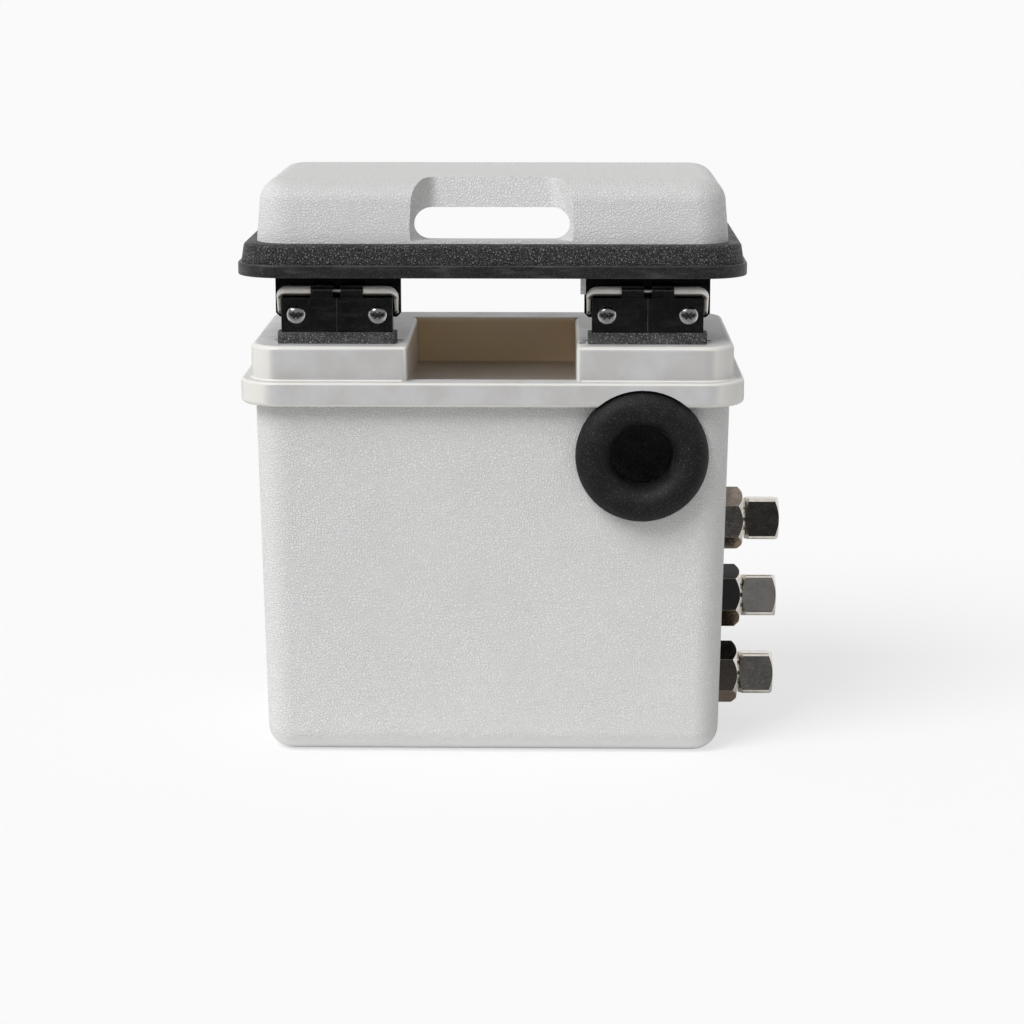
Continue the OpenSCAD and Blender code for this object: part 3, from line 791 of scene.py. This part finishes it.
class Moulder:
    """Makes meshes from outlines given in millimetres."""

    def solid(self, name: str, points: Iterable[Point], faces: Iterable[Sequence[int]]) -> Piece:
        """Makes an object from points in millimetres and faces.

        Args:
            name: the object's name.
            points: the vertices.
            faces: the faces, as vertex numbers.

        Returns:
            The object, with its faces turned outwards.
        """
        shape = bmesh.new()
        verts = [shape.verts.new(Vector(point) * MM) for point in points]
        for face in faces:
            shape.faces.new([verts[i] for i in face])
        return self.show(name, shape)

    def show(self, name: str, shape: bmesh.types.BMesh) -> Piece:
        """Turns a finished shape into an object of the scene.

        Args:
            name: the object's name.
            shape: the shape, which is used up.

        Returns:
            The object, with its faces turned outwards.
        """
        bmesh.ops.recalc_face_normals(shape, faces=shape.faces)
        mesh = bpy.data.meshes.new(name)
        shape.to_mesh(mesh)
        shape.free()
        made = bpy.data.objects.new(name, mesh)
        bpy.context.scene.collection.objects.link(made)
        return made

    def loft(self, name: str, loops: Sequence[Sequence[Point]], closed: bool = False) -> Piece:
        """Spans loops of equal length.

        Args:
            name: the object's name.
            loops: the loops in order.
            closed: whether the last loop joins the first, instead of both being capped.

        Returns:
            The object.
        """
        size = len(loops[0])
        points = [p for loop in loops for p in loop]
        pairs = range(len(loops) if closed else len(loops) - 1)
        faces: list[Sequence[int]] = []
        for k in pairs:
            low, high = k * size, (k + 1) % len(loops) * size
            for i in range(size):
                after = (i + 1) % size
                faces.append((low + i, low + after, high + after, high + i))
        if not closed:
            faces += [list(range(size))[::-1], list(range(len(points) - size, len(points)))]
        return self.solid(name, points, faces)

    def rings(self, name: str, rings: Sequence[Ring], closed: bool = False) -> Piece:
        """Spans rounded rectangles, with the arguments of loft()."""
        return self.loft(name, [PLAN.outline(r) for r in rings], closed)

    def block(self, low: Point, high: Point) -> Piece:
        """Makes a block.

        Args:
            low: its lowest corner.
            high: its highest corner.

        Returns:
            The object.
        """
        base = [(low[0], low[1]), (high[0], low[1]), (high[0], high[1]), (low[0], high[1])]
        return self.loft("block", [[(x, y, z) for x, y in base] for z in (low[2], high[2])])

    def rod(self, centre: Point, axis: Axis, radius: float, length: float, sides: int = 64) -> Piece:
        """A round bar.

        Args:
            centre: the middle of its first end.
            axis: the way it runs.
            radius: its radius.
            length: its length, negative to run backwards.
            sides: its facets.

        Returns:
            The object.
        """
        loops = []
        for along in (0.0, length):
            loop = []
            for u, v in bow(radius, 0, 360, sides)[:-1]:
                offset = (along, u, v) if axis is Axis.X else (u, along, v)
                loop.append(tuple(c + o for c, o in zip(centre, offset)))
            loops.append(loop)
        return self.loft("rod", loops)

    def prism(
        self,
        outline: Sequence[Flat],
        place: Callable[[float, float, float], Point],
        length: float,
    ) -> Piece:
        """Extrudes a flat outline.

        Args:
            outline: the outline's points.
            place: puts an outline point, at a distance along the prism, into the frame.
            length: the prism's length.

        Returns:
            The object.
        """
        return self.loft("prism", [[place(u, v, w) for u, v in outline] for w in (0.0, length)])

    def wrap(self, points: Sequence[Point]) -> Piece:
        """Makes the tightest solid around points.

        Args:
            points: the points.

        Returns:
            The object.
        """
        shape = bmesh.new()
        for point in points:
            shape.verts.new(Vector(point) * MM)
        found = bmesh.ops.convex_hull(shape, input=shape.verts)
        spare = dict.fromkeys(found["geom_interior"] + found["geom_unused"])
        loose = [v for v in spare if isinstance(v, bmesh.types.BMVert)]
        bmesh.ops.delete(shape, geom=loose, context="VERTS")
        return self.show("wrap", shape)

    def tube(self, name: str, path: Sequence[Point], radii: Sequence[float], sides: int = 24) -> Piece:
        """Sweeps a circle of changing size along a path.

        Args:
            name: the object's name.
            path: the centre line.
            radii: the radius at each of its points.
            sides: the circle's facets.

        Returns:
            The object.
        """
        spots = [Vector(p) for p in path]
        loops = []
        side = Vector((0, 1, 0))
        for k, spot in enumerate(spots):
            ahead = (spots[min(k + 1, len(spots) - 1)] - spots[max(k - 1, 0)]).normalized()
            side = (side - ahead * side.dot(ahead)).normalized()
            other = ahead.cross(side)
            circle = bow(radii[k], 0, 360, sides)[:-1]
            loops.append([tuple(spot + side * u + other * v) for u, v in circle])
        return self.loft(name, loops)

    def carve(self, target: Piece, tools: Sequence[tuple[Cut, Piece]]) -> None:
        """Adds and removes helper solids, then deletes them.

        Args:
            target: the object that is cut.
            tools: what each solid does, and the solid.
        """
        for cut, tool in tools:
            step = target.modifiers.new(tool.name, "BOOLEAN")
            step.operation = cut.value
            step.object = tool
            step.solver = "EXACT"
        self.settle(target)
        for _, tool in tools:
            bpy.data.objects.remove(tool)

    def settle(self, target: Piece) -> None:
        """Replaces an object's mesh with what its modifiers make of it.

        Args:
            target: the object.
        """
        graph = bpy.context.evaluated_depsgraph_get()
        graph.update()
        mesh = bpy.data.meshes.new_from_object(target.evaluated_get(graph))
        target.modifiers.clear()
        target.data = mesh

    def copy(self, node: str, name: str) -> Piece:
        """Makes a welded copy of a CAD node's mesh.

        Args:
            node: the node.
            name: the copy's name.

        Returns:
            The copy, without a finish.
        """
        made = bpy.data.objects.new(name, frame["nodes"][node].data.copy())
        made.data.materials.clear()
        bpy.context.scene.collection.objects.link(made)
        shape = bmesh.new()
        shape.from_mesh(made.data)
        bmesh.ops.remove_doubles(shape, verts=shape.verts, dist=WELD * MM)
        flat = math.radians(0.6)
        bmesh.ops.dissolve_limit(shape, angle_limit=flat, verts=shape.verts, edges=shape.edges)
        shape.to_mesh(made.data)
        shape.free()
        return made

    def soften(self, target: Piece, width: float, angle: float = 38.0) -> None:
        """Rounds sharp edges and evens out the shading.

        Args:
            target: the object.
            width: the bevel's width in millimetres, or 0 for none.
            angle: the smallest angle in degrees that counts as an edge.
        """
        if width:
            bevel = target.modifiers.new("bevel", "BEVEL")
            bevel.width = width * MM
            bevel.segments = 2
            bevel.limit_method = "ANGLE"
            bevel.angle_limit = math.radians(angle)
            self.settle(target)
        target.data.shade_smooth()
        target.data.set_sharp_from_angle(angle=math.radians(angle))
        even = target.modifiers.new("even_shading", "WEIGHTED_NORMAL")
        even.keep_sharp = True
        self.settle(target)


MOULDER = Moulder()


@dataclass
class SubAssembly:
    """A group of pieces that are made and dressed together."""

    def dress(self, finish: Finish, *nodes: str) -> None:
        """Gives CAD nodes a finish.

        Args:
            finish: the finish.
            nodes: the nodes' names.
        """
        for node in nodes:
            shown = frame["nodes"][node]
            for slot in shown.material_slots:
                slot.material = finish.material()
            LOG.info("node %s: %s", node, finish.name)

    def keep(self, piece: Piece, finish: Finish, *nodes: str) -> Piece:
        """Finishes a new piece and lets it stand for its CAD nodes.

        Args:
            piece: the piece.
            finish: its finish.
            nodes: the CAD nodes it replaces, the first of which says what it rides on.

        Returns:
            The piece.
        """
        piece.data.materials.clear()
        piece.data.materials.append(finish.material())
        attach(piece, frame["nodes"][nodes[0]]["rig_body"])
        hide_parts(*nodes)
        LOG.info("piece %s: %s, %d faces", piece.name, finish.name, len(piece.data.polygons))
        return piece

    def recut(self, finish: Finish, width: float, *nodes: str, angle: float = 38.0) -> None:
        """Replaces CAD nodes with copies whose edges are rounded.

        Args:
            finish: the copies' finish.
            width: the rounding's width in millimetres.
            nodes: the nodes' names.
            angle: the smallest angle in degrees that counts as an edge.
        """
        for node in nodes:
            piece = MOULDER.copy(node, node + "_finished")
            MOULDER.soften(piece, width, angle=angle)
            self.keep(piece, finish, node)

    def build(self) -> None:
        """Makes the group's pieces."""
        raise NotImplementedError


# ---- Sub-assemblies ----


def grommet_relief(y: float) -> Piece:
    """The round space that a moulding leaves for the grommet, in front of a depth."""
    spot = (PLAN.grommet_x, y, PLAN.grommet_z)
    return MOULDER.rod(spot, Axis.Y, PLAN.grommet_relief, -PLAN.relief_length)


@dataclass
class Tub(SubAssembly):
    """The deep grained body that holds the battery."""

    inset: float = 8.0
    draft: float = 4.0
    corner: float = 20.0
    foot: float = 14.0
    wall: float = 3.0
    lip: float = 3.0
    lip_inset: float = 3.0
    grommet_hole: float = 51.6
    gland_hole: float = 22.4
    gland_start: float = 125.0
    gland_cut: float = 30.0
    cable_start: float = 5.0
    cable_cut: float = 15.0
    relief_gap: float = 0.2

    def shape(self) -> list[Ring]:
        """Works out the section.

        Returns:
            The rings, from the middle of the base up the outside and down the inside.
        """
        middle = self.inset + self.draft + self.foot
        centre = Ring(middle, self.foot, self.corner + self.inset - middle)
        under = self.inset + self.draft * self.lip / (PLAN.tub_top - self.foot)
        top = PLAN.tub_top
        rings = arc(centre, self.foot, -90, 0, 12) + [
            Ring(under, top - self.lip, self.corner),
            PLAN.ring(self.lip_inset, top - self.lip),
            PLAN.ring(self.lip_inset, top),
            Ring(self.inset + self.wall, top, self.corner - self.wall),
        ]
        return rings + arc(centre, self.foot - self.wall, 0, -90, 8)

    def build(self) -> None:
        """Moulds the tub and opens its cable holes."""
        tub = MOULDER.rings("tub_moulding", self.shape())
        y = -PLAN.depth / 2 + self.inset
        hole = (PLAN.grommet_x, y - self.cable_start, PLAN.grommet_z)
        tools = [
            (Cut.REMOVE, MOULDER.rod(hole, Axis.Y, self.grommet_hole / 2, self.cable_cut)),
            (Cut.REMOVE, grommet_relief(y - self.relief_gap)),
        ]
        for z in PLAN.gland_heights:
            start = (self.gland_start, 0, z)
            bore = MOULDER.rod(start, Axis.X, self.gland_hole / 2, self.gland_cut)
            tools.append((Cut.REMOVE, bore))
        MOULDER.carve(tub, tools)
        MOULDER.soften(tub, 0)
        self.keep(tub, TUB_GRAIN, "tub")


@dataclass
class TopFrame(SubAssembly):
    """The smooth frame on the tub, with its flange, raised deck and hand channel."""

    skirt: float = 2.6
    collar_inset: float = 6.2
    edge: float = 3.0
    fillet: float = 1.2
    opening: float = 11.0
    deck: float = 3.0
    channel: float = 97.0
    floor: float = 217.0
    back: float = 48.8
    front: float = -76.8
    sill_back: float = -69.0
    relief_back: float = -75.2
    sill_front: float = -71.5
    wall_front: float = -72.5
    slot_x: float = 37.2
    slot_y: Flat = (-53.4, -48.8)
    guide_gap: tuple[Point, Flat] = ((50.4, -64.4, 209.0), (54.2, -55.6))
    opening_corner: float = 17.0
    skirt_low: float = 210.1
    rim_low: float = 209.9
    low_edge: float = 2.6
    low_start: float = 2.2
    low_centre: float = 212.2
    lap: float = 0.5
    ledge_cut: float = 25.0
    low_turn: float = -62.0
    top_edge: float = 1.8

    def shape(self) -> list[Ring]:
        """Works out the section.

        Returns:
            The rings, from under the deck down to the skirt, round the flange and up to the deck.
        """
        plate, top = PLAN.seal_top, PLAN.flange_top
        low, high, foot = self.low_edge, self.top_edge, self.collar_inset - self.fillet
        rings = [
            Ring(self.opening, PLAN.deck_top - self.deck, self.opening_corner),
            Ring(self.opening, plate, self.opening_corner),
            PLAN.ring(self.skirt, plate),
            PLAN.ring(self.skirt, self.skirt_low),
            PLAN.ring(self.low_start, self.rim_low),
        ]
        rings += arc(PLAN.ring(low, self.low_centre), low, self.low_turn, 0, 6)
        rings += arc(PLAN.ring(high, top - high), high, 0, 90, 8)
        rings += arc(PLAN.ring(foot, top + self.fillet), -self.fillet, 90, 0, 5)
        middle = self.collar_inset + self.edge
        rings += arc(PLAN.ring(middle, PLAN.deck_top - self.edge), self.edge, 0, 90, 8)
        return rings

    def edge_outline(self) -> list[Flat]:
        """Works out what is taken off a square edge to round it.

        Returns:
            The outline, with the edge at the origin and the solid at +X and -Y.
        """
        r = self.edge
        curve = [(r - x, y - r) for x, y in bow(r, 0, 90, 9)]
        return [(-PAST, -r)] + curve + [(r, PAST), (-PAST, PAST)]

    def build(self) -> None:
        """Moulds the frame, sinks the channel between two ledges and rounds its edges."""
        body = MOULDER.rings("frame_moulding", self.shape())
        half, wall, top = self.channel / 2, self.deck, PLAN.deck_top
        high, sill, mouth = top + PAST, PLAN.flange_top + NUDGE, self.front - PAST
        x, y, split = half + wall, self.back + wall, PLAN.seal_top + self.lap
        steps = [
            (self.sill_back, self.floor), (self.back, self.floor), (self.back, high),
            (mouth, high), (mouth, sill), (self.sill_back, sill),
        ]
        outline = self.edge_outline()
        tools = [
            (Cut.ADD, MOULDER.block((-x, self.wall_front, split), (x, y, top - wall / 2))),
            (Cut.ADD, MOULDER.block((-x, self.sill_front, self.floor - wall), (x, y, split + self.lap))),
            (Cut.REMOVE, MOULDER.prism(steps, lambda u, v, w: (w - half, u, v), 2 * half)),
        ]
        for side in (-1, 1):
            deep = lambda u, v, w: (side * (half + u), mouth + w, top + v)
            tall = lambda u, v, w: (side * (half + u), self.front - v, sill + w)
            low = (side * HINGE_X - self.slot_x, self.slot_y[0], PLAN.flange_top)
            tools += [
                (Cut.REMOVE, MOULDER.prism(outline, deep, self.back - mouth)),
                (Cut.REMOVE, MOULDER.prism(outline, tall, self.ledge_cut)),
                (Cut.REMOVE, MOULDER.block(low, (low[0] + 2 * self.slot_x, self.slot_y[1], high))),
            ]
        rear = lambda u, v, w: (w - half - NUDGE, self.back + u, top + v)
        gap_low, gap_high = self.guide_gap
        tools += [
            (Cut.REMOVE, MOULDER.prism(outline, rear, 2 * (half + NUDGE))),
            (Cut.REMOVE, MOULDER.block(gap_low, (*gap_high, high))),
            (Cut.REMOVE, grommet_relief(self.relief_back)),
        ]
        MOULDER.carve(body, tools)
        MOULDER.soften(body, 0)
        self.keep(body, FRAME, "top_frame")
        self.dress(RUBBER, "frame_seal")
        self.dress(BRIGHT, "frame_screws", "foot_screws")


@dataclass
class Hinge(SubAssembly):
    """One hinge: its foot and block on the deck, their screws and the steel bail."""

    side: Side
    pivot_y: float = -60.0
    pivot_z: float = 274.1
    bar_r: float = 2.9
    arm_r: float = 1.1
    thin_r: float = 1.0
    arm_x: float = 33.9
    heel: Flat = (5.8, -13.0)
    tip_y: float = 9.9
    thin_end: float = 6.0
    shoulder: float = 0.3
    neck: float = 0.25
    bar_end: float = 26.0
    bend: float = 4.5
    pin_bend: float = 1.5

    def bail(self) -> Piece:
        """Bends the bar down at both ends into thinner arms, whose pins point back.

        Returns:
            The bail.
        """
        y, z = self.heel
        half: list[tuple[Point, float]] = [
            ((0, 0, 0), self.thin_r),
            ((self.thin_end, 0, 0), self.thin_r),
            ((self.thin_end + self.shoulder, 0, 0), self.bar_r),
            ((self.bar_end, 0, 0), self.bar_r),
        ]
        for step, (rise, out) in enumerate(bow(self.bend, 0, 90, 8)):
            drop = self.bend - rise
            thin = self.bar_r + (self.arm_r + self.neck - self.bar_r) * step / 8
            half.append(((self.arm_x - self.bend + out, y * drop / -z, -drop), thin))
        for ahead, down in bow(self.pin_bend, 0, 90, 6):
            turned = y + down - ahead
            half.append(((self.arm_x, turned, z + self.pin_bend - down), self.arm_r))
        half.append(((self.arm_x, self.tip_y, z), self.arm_r))
        mirrored = [((-x, back, up), r) for (x, back, up), r in half[:0:-1]]
        centre = (self.side.value * HINGE_X, self.pivot_y, self.pivot_z)
        whole = mirrored + half
        path = [tuple(a + b for a, b in zip(p, centre)) for p, _ in whole]
        return MOULDER.tube("bail_" + self.side.label, path, [r for _, r in whole])

    def build(self) -> None:
        """Rounds the mouldings' edges, bends the bail and dresses the screws."""
        label = self.side.label
        self.recut(FOOT, 0.5, "hinge_foot_" + label)
        self.recut(BLOCK, 0.35, "hinge_block_" + label)
        self.recut(DOME, 0.15, "block_screws_" + label)
        bail = self.bail()
        MOULDER.soften(bail, 0, angle=60)
        self.keep(bail, STEEL, "hinge_bail_" + label)


@dataclass
class Lid(SubAssembly):
    """The raised lid: its grained shell with the hand recess, the pebbled rim and the edge trim."""

    inset: float = 10.0
    wall: float = 3.0
    edge: float = 14.0
    inner_edge: float = 8.0
    lean: float = 1.95
    corner: float = 21.0
    recess_w: float = 99.4
    recess_depth: float = 10.0
    slot_l: float = 89.0
    slot_h: float = 17.8
    arch_w: float = 108.0
    arch_top: float = 322.2
    arch_y: float = 62.0
    arch_cut: float = 23.0
    slot_y: float = -93.0
    slot_z: float = 304.4
    slot_cut: float = 40.0
    recess_corner: float = 6.0
    recess_flare: float = 1.5
    recess_taper: Flat = (9.0, 13.0)
    recess_lip: float = 4.0
    recess_run: Flat = (11.0, 0.6)
    recess_clear: float = 5.0
    recess_slope: float = 0.65
    pad_r: float = 5.0
    pad_x: float = 20.0
    pad_y: float = -43.1
    pad_z: Flat = (333.0, 337.0)
    guide: tuple[Point, Point] = ((50.8, -64.0, 272.8), (53.8, -56.0, 337.0))
    # sheet: the black sheet behind each bracket plate that stands in for the shade in its slots
    sheet: tuple[Point, Point] = ((-36.2, -49.65, 260.6), (36.2, -49.15, 330.0))
    rim_in: float = 5.5
    rim_ledge: float = 3.9
    rim_out: float = 1.5
    rim_edge: float = 2.6
    rim_flange: float = 13.0
    flange_corner: float = 18.0
    rim_step: float = 0.8
    rim_lap: float = 0.1
    rim_wall: float = 1.3
    trim_h: float = 7.4
    trim_foot: float = 1.5
    trim_proud: float = 0.5
    bead: float = 0.9

    def body(self, grow: float, edge: float, bottom: float) -> Piece:
        """Makes the shell's outside, or its inside where it is shrunk by the wall.

        Args:
            grow: how much smaller it is than the outside.
            edge: the radius of its top edge.
            bottom: the height of its lower end.

        Returns:
            The solid.
        """
        inset = self.inset + grow
        radius = self.corner - grow
        top = PLAN.lid_top - grow
        upper = inset + self.lean
        rings = [Ring(inset, bottom, radius)]
        rings += arc(Ring(upper + edge, top - edge, radius - self.lean - edge), edge, 0, 90, 12)
        return MOULDER.rings("shell_form", rings)

    def recess(self, grow: float) -> Piece:
        """Makes the hand recess, which slopes back through the lid's top edge.

        Args:
            grow: how much larger it is than the hollow.

        Returns:
            The solid that is taken away.
        """
        low = self.slot_z - grow
        top = PLAN.lid_top
        over = top + self.recess_clear
        face = -PLAN.depth / 2 + self.inset
        flare = self.recess_flare
        back = face + self.recess_depth + grow
        half = self.recess_w / 2 + grow
        drop = self.recess_slope * grow
        run, rise = self.recess_run
        r = self.recess_corner
        posts = (
            (face - flare, half + flare, low, over),
            (back, half - self.recess_taper[0], low, top - self.recess_lip - drop),
            (back + run, half - self.recess_taper[1], top + rise - drop, over),
        )
        points = []
        for y, half_w, z0, z1 in posts:
            for side in (-1, 1):
                for u, v in bow(r, 0, 360, 40)[:-1]:
                    for z in (z0, z1):
                        points.append((side * (half_w - r) + u, y - r + v, z))
        return MOULDER.wrap(points)

    def arch(self) -> Piece:
        """Makes the open arch through the back of the lid.

        Returns:
            The solid that is taken away.
        """
        r = self.slot_h / 2
        half, high = self.arch_w / 2 - r, self.arch_top - r
        outline = [(half + r, PLAN.lid_bottom - PAST)]
        outline += [(half + x, high + z) for x, z in bow(r, 0, 90, 12)]
        outline += [(-x, z) for x, z in outline[::-1]]
        return MOULDER.prism(outline, lambda u, v, w: (u, self.arch_y + w, v), self.arch_cut)

    def hand_slot(self) -> Piece:
        """Makes the slot that the fingers go through.

        Returns:
            The solid that is taken away.
        """
        r = self.slot_h / 2
        half = self.slot_l / 2 - r
        middle = self.slot_z + r
        outline = [(half + x, middle + z) for x, z in bow(r, -90, 90, 32)]
        outline += [(-x, z) for x, z in outline[::-1]]
        return MOULDER.prism(outline, lambda u, v, w: (u, self.slot_y + w, v), self.slot_cut)

    def shell(self) -> None:
        """Moulds the shell with its recess, slot, arch, roof pads and guide tab."""
        shell = self.body(0.0, self.edge, PLAN.rim_top)
        inside = self.body(self.wall, self.inner_edge, PLAN.rim_top - PAST)
        MOULDER.carve(inside, [(Cut.REMOVE, self.recess(self.wall))])
        tools = [(Cut.REMOVE, inside)]
        circle = bow(self.pad_r, 0, 360, 32)[:-1]
        for side in (-1, 1):
            for x in (side * HINGE_X - self.pad_x, side * HINGE_X + self.pad_x):
                loops = [[(x + u, self.pad_y + v, z) for u, v in circle] for z in self.pad_z]
                tools.append((Cut.ADD, MOULDER.loft("pad", loops)))
        tools += [
            (Cut.ADD, MOULDER.block(*self.guide)),
            (Cut.REMOVE, self.recess(0.0)),
            (Cut.REMOVE, self.hand_slot()),
            (Cut.REMOVE, self.arch()),
        ]
        MOULDER.carve(shell, tools)
        shell.name = "lid_moulding"
        MOULDER.soften(shell, 0, angle=32)
        self.keep(shell, LID_GRAIN, "lid_shell")

    def band(self) -> None:
        """Moulds the pebbled rim and the trim along its lower edge."""
        low, top, ring = PLAN.lid_bottom, PLAN.rim_top, PLAN.ring
        ledge, out, inner, edge = self.rim_ledge, self.rim_out, self.rim_in, self.rim_edge
        foot, joint, under = low + self.trim_foot, low + self.trim_h, top - self.rim_wall
        flange, corner = self.rim_flange, self.flange_corner
        rings = [ring(ledge, foot), ring(ledge, joint)]
        rings += [ring(out, joint), ring(out, joint + self.rim_step)]
        rings += arc(ring(inner - self.rim_lap, top - edge), edge, 0, 90, 8)
        rings += [Ring(flange, top, corner), Ring(flange, under, corner)]
        rings += [ring(inner, under), ring(inner, foot)]
        self.hoop("rim_moulding", rings, RIM, "lid_rim")
        bead = self.bead
        middle = bead - self.trim_proud
        rings = arc(ring(middle, low + bead), bead, -90, 0, 5)
        rings += arc(ring(middle, joint - bead), bead, 0, 90, 5)
        rings += [ring(ledge, joint), ring(ledge, foot), ring(inner, foot), ring(inner, low)]
        self.hoop("trim_moulding", rings, TRIM, "lid_edge_trim")

    def hoop(self, name: str, rings: Sequence[Ring], finish: Finish, node: str) -> None:
        """Moulds a band round the lid, open where the arch passes.

        Args:
            name: the piece's name.
            rings: its section.
            finish: its finish.
            node: the CAD node it replaces.
        """
        band = MOULDER.rings(name, rings, closed=True)
        MOULDER.carve(band, [(Cut.REMOVE, self.arch())])
        MOULDER.soften(band, 0)
        self.keep(band, finish, node)

    def shade_backing(self, side: Side) -> None:
        """Closes one bracket's slots with a thin black sheet behind its plate, standing in for the shade
        inside them.

        Args:
            side: the bracket's side.
        """
        (x0, y0, z0), (x1, y1, z1) = self.sheet
        middle = side.value * HINGE_X
        sheet = MOULDER.block((middle + x0, y0, z0), (middle + x1, y1, z1))
        sheet.name = "bracket_backing_" + side.label
        MOULDER.soften(sheet, 0.15)
        sheet.data.materials.append(BRACKET.material())
        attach(sheet, "lid")
        LOG.info("piece %s: %s", sheet.name, BRACKET.name)

    def build(self) -> None:
        """Makes the shell, the rim and trim, and dresses the brackets."""
        self.shell()
        self.band()
        self.recut(BRACKET, 0.35, "lid_bracket_left", "lid_bracket_right")
        # black sheets behind the bracket slots, standing in for shade
        for side in Side:
            self.shade_backing(side)
        self.dress(BRIGHT, "bracket_screws")


@dataclass
class Grommet(SubAssembly):
    """The soft rubber ring round the large cable hole."""

    def build(self) -> None:
        """Smooths the ring's shading."""
        self.recut(RUBBER, 0, "cable_grommet", angle=50)


@dataclass
class Gland(SubAssembly):
    """One nickel cable gland with its washer, nuts and rubber bush."""

    level: Level

    def build(self) -> None:
        """Rounds the edges of the hexagon and the cap, and dresses the rest."""
        label = self.level.label
        self.recut(BODIES[self.level], 0.45, "gland_body_" + label, angle=20)
        self.recut(CAPS[self.level], 0.45, "gland_cap_" + label, angle=20)
        self.dress(RUBBER, "gland_washer_" + label, "gland_bush_" + label)
        self.dress(OLD_NICKEL, "gland_locknut_" + label)


@dataclass
class Studio:
    """A pale floor, one soft key light from the upper left, and the photograph's camera."""

    focal_px: float = 2700.0
    frame_px: float = 1024.0
    sensor: float = 36.0
    eye: Point = (0.0360, -1.6088, 0.4666)
    pitch: float = 11.76
    yaw: float = 0.912
    floor_half: float = 60.0
    floor_front: float = 0.62
    floor_glow: float = 0.65
    ambient: float = 0.42
    key: float = 2.55
    key_from: Point = (-0.60, -0.60, 0.95)
    key_spread: float = 34.0
    horizon: float = 200.0
    dark_front: Flat = (-0.70, -0.15)
    dark_low: Flat = (0.14, 0.26)
    darkness: float = 0.93

    def camera(self) -> None:
        """Sets the camera."""
        lens = bpy.data.cameras.new("camera")
        lens.sensor_width = self.sensor
        lens.lens = self.focal_px / self.frame_px * self.sensor
        lens.clip_end = self.horizon
        shot = bpy.data.objects.new("camera", lens)
        shot.location = self.eye
        shot.rotation_euler = (math.radians(90 - self.pitch), 0, math.radians(self.yaw))
        bpy.context.scene.collection.objects.link(shot)
        bpy.context.scene.camera = shot

    def floor(self) -> None:
        """Lays the floor, white to the camera where it is lit."""
        h = self.floor_half / MM
        near = -self.floor_front / MM
        corners = [(-h, near, 0), (h, near, 0), (h, h, 0), (-h, h, 0)]
        floor = MOULDER.solid("floor", corners, [(0, 1, 2, 3)])
        made = bpy.data.materials.new("floor")
        made.use_nodes = True
        graph = Graph(made.node_tree)
        lit = graph.node("BsdfDiffuse", {}, {"Color": paint((0.93, 0.93, 0.93))})
        glow = graph.node("Emission", {}, {"Color": (1, 1, 1, 1), "Strength": 1.0})
        seen = graph.wire("LightPath", output="Is Camera Ray") * self.floor_glow
        both = graph.node("MixShader", {}, {0: seen})
        graph.join(lit, both.inputs[1])
        graph.join(glow, both.inputs[2])
        graph.join(both, graph.node("OutputMaterial").inputs["Surface"])
        floor.data.materials.append(made)

    def world(self) -> None:
        """Lights the room: white to the camera, and dark low at the front in reflections."""
        world = bpy.data.worlds.new("studio")
        bpy.context.scene.world = world
        world.use_nodes = True
        graph = Graph(world.node_tree)
        path = graph.node("LightPath")
        kinds = ("Is Camera Ray", "Is Glossy Ray", "Is Transmission Ray")
        camera, glossy, through = (Wire(graph, path.outputs[kind]) for kind in kinds)
        split = graph.node("SeparateXYZ", {}, {0: graph.wire("TexCoord", output="Generated")})
        front = Wire(graph, split.outputs[1]).ramp(*self.dark_front, 1.0, 0.0)
        low = Wire(graph, split.outputs[2]).ramp(*self.dark_low, 1.0, 0.0)
        room = 1 - front * low * self.darkness
        strength = camera.most(through).most(glossy * room)
        base = (1 - camera.most(through).most(glossy)) * self.ambient
        back = graph.node("Background", {}, {"Color": (1, 1, 1, 1), "Strength": strength + base})
        graph.join(back, graph.node("OutputWorld").inputs["Surface"])

    def lamp(self) -> None:
        """Hangs the key light as a wide sun."""
        light = bpy.data.lights.new("key", "SUN")
        light.energy = self.key
        light.angle = math.radians(self.key_spread)
        lamp = bpy.data.objects.new("key", light)
        lamp.rotation_euler = Vector(self.key_from).to_track_quat("Z", "Y").to_euler()
        bpy.context.scene.collection.objects.link(lamp)

    def build(self) -> None:
        """Sets up the camera, floor, world and lamp."""
        bpy.context.scene.view_settings.view_transform = "Standard"
        self.camera()
        self.floor()
        self.world()
        self.lamp()


def main() -> None:
    """Builds the studio and then each sub-assembly, and reports each piece."""
    logging.basicConfig(level=logging.INFO, format="%(message)s")
    hinges = [Hinge(side) for side in Side]
    glands = [Gland(level) for level in Level]
    parts = [Studio(), Tub(), TopFrame(), *hinges, Lid(), Grommet(), *glands]
    for part in parts:
        part.build()
        LOG.info("built %s", type(part).__name__)


if __name__ == "__main__":
    main()
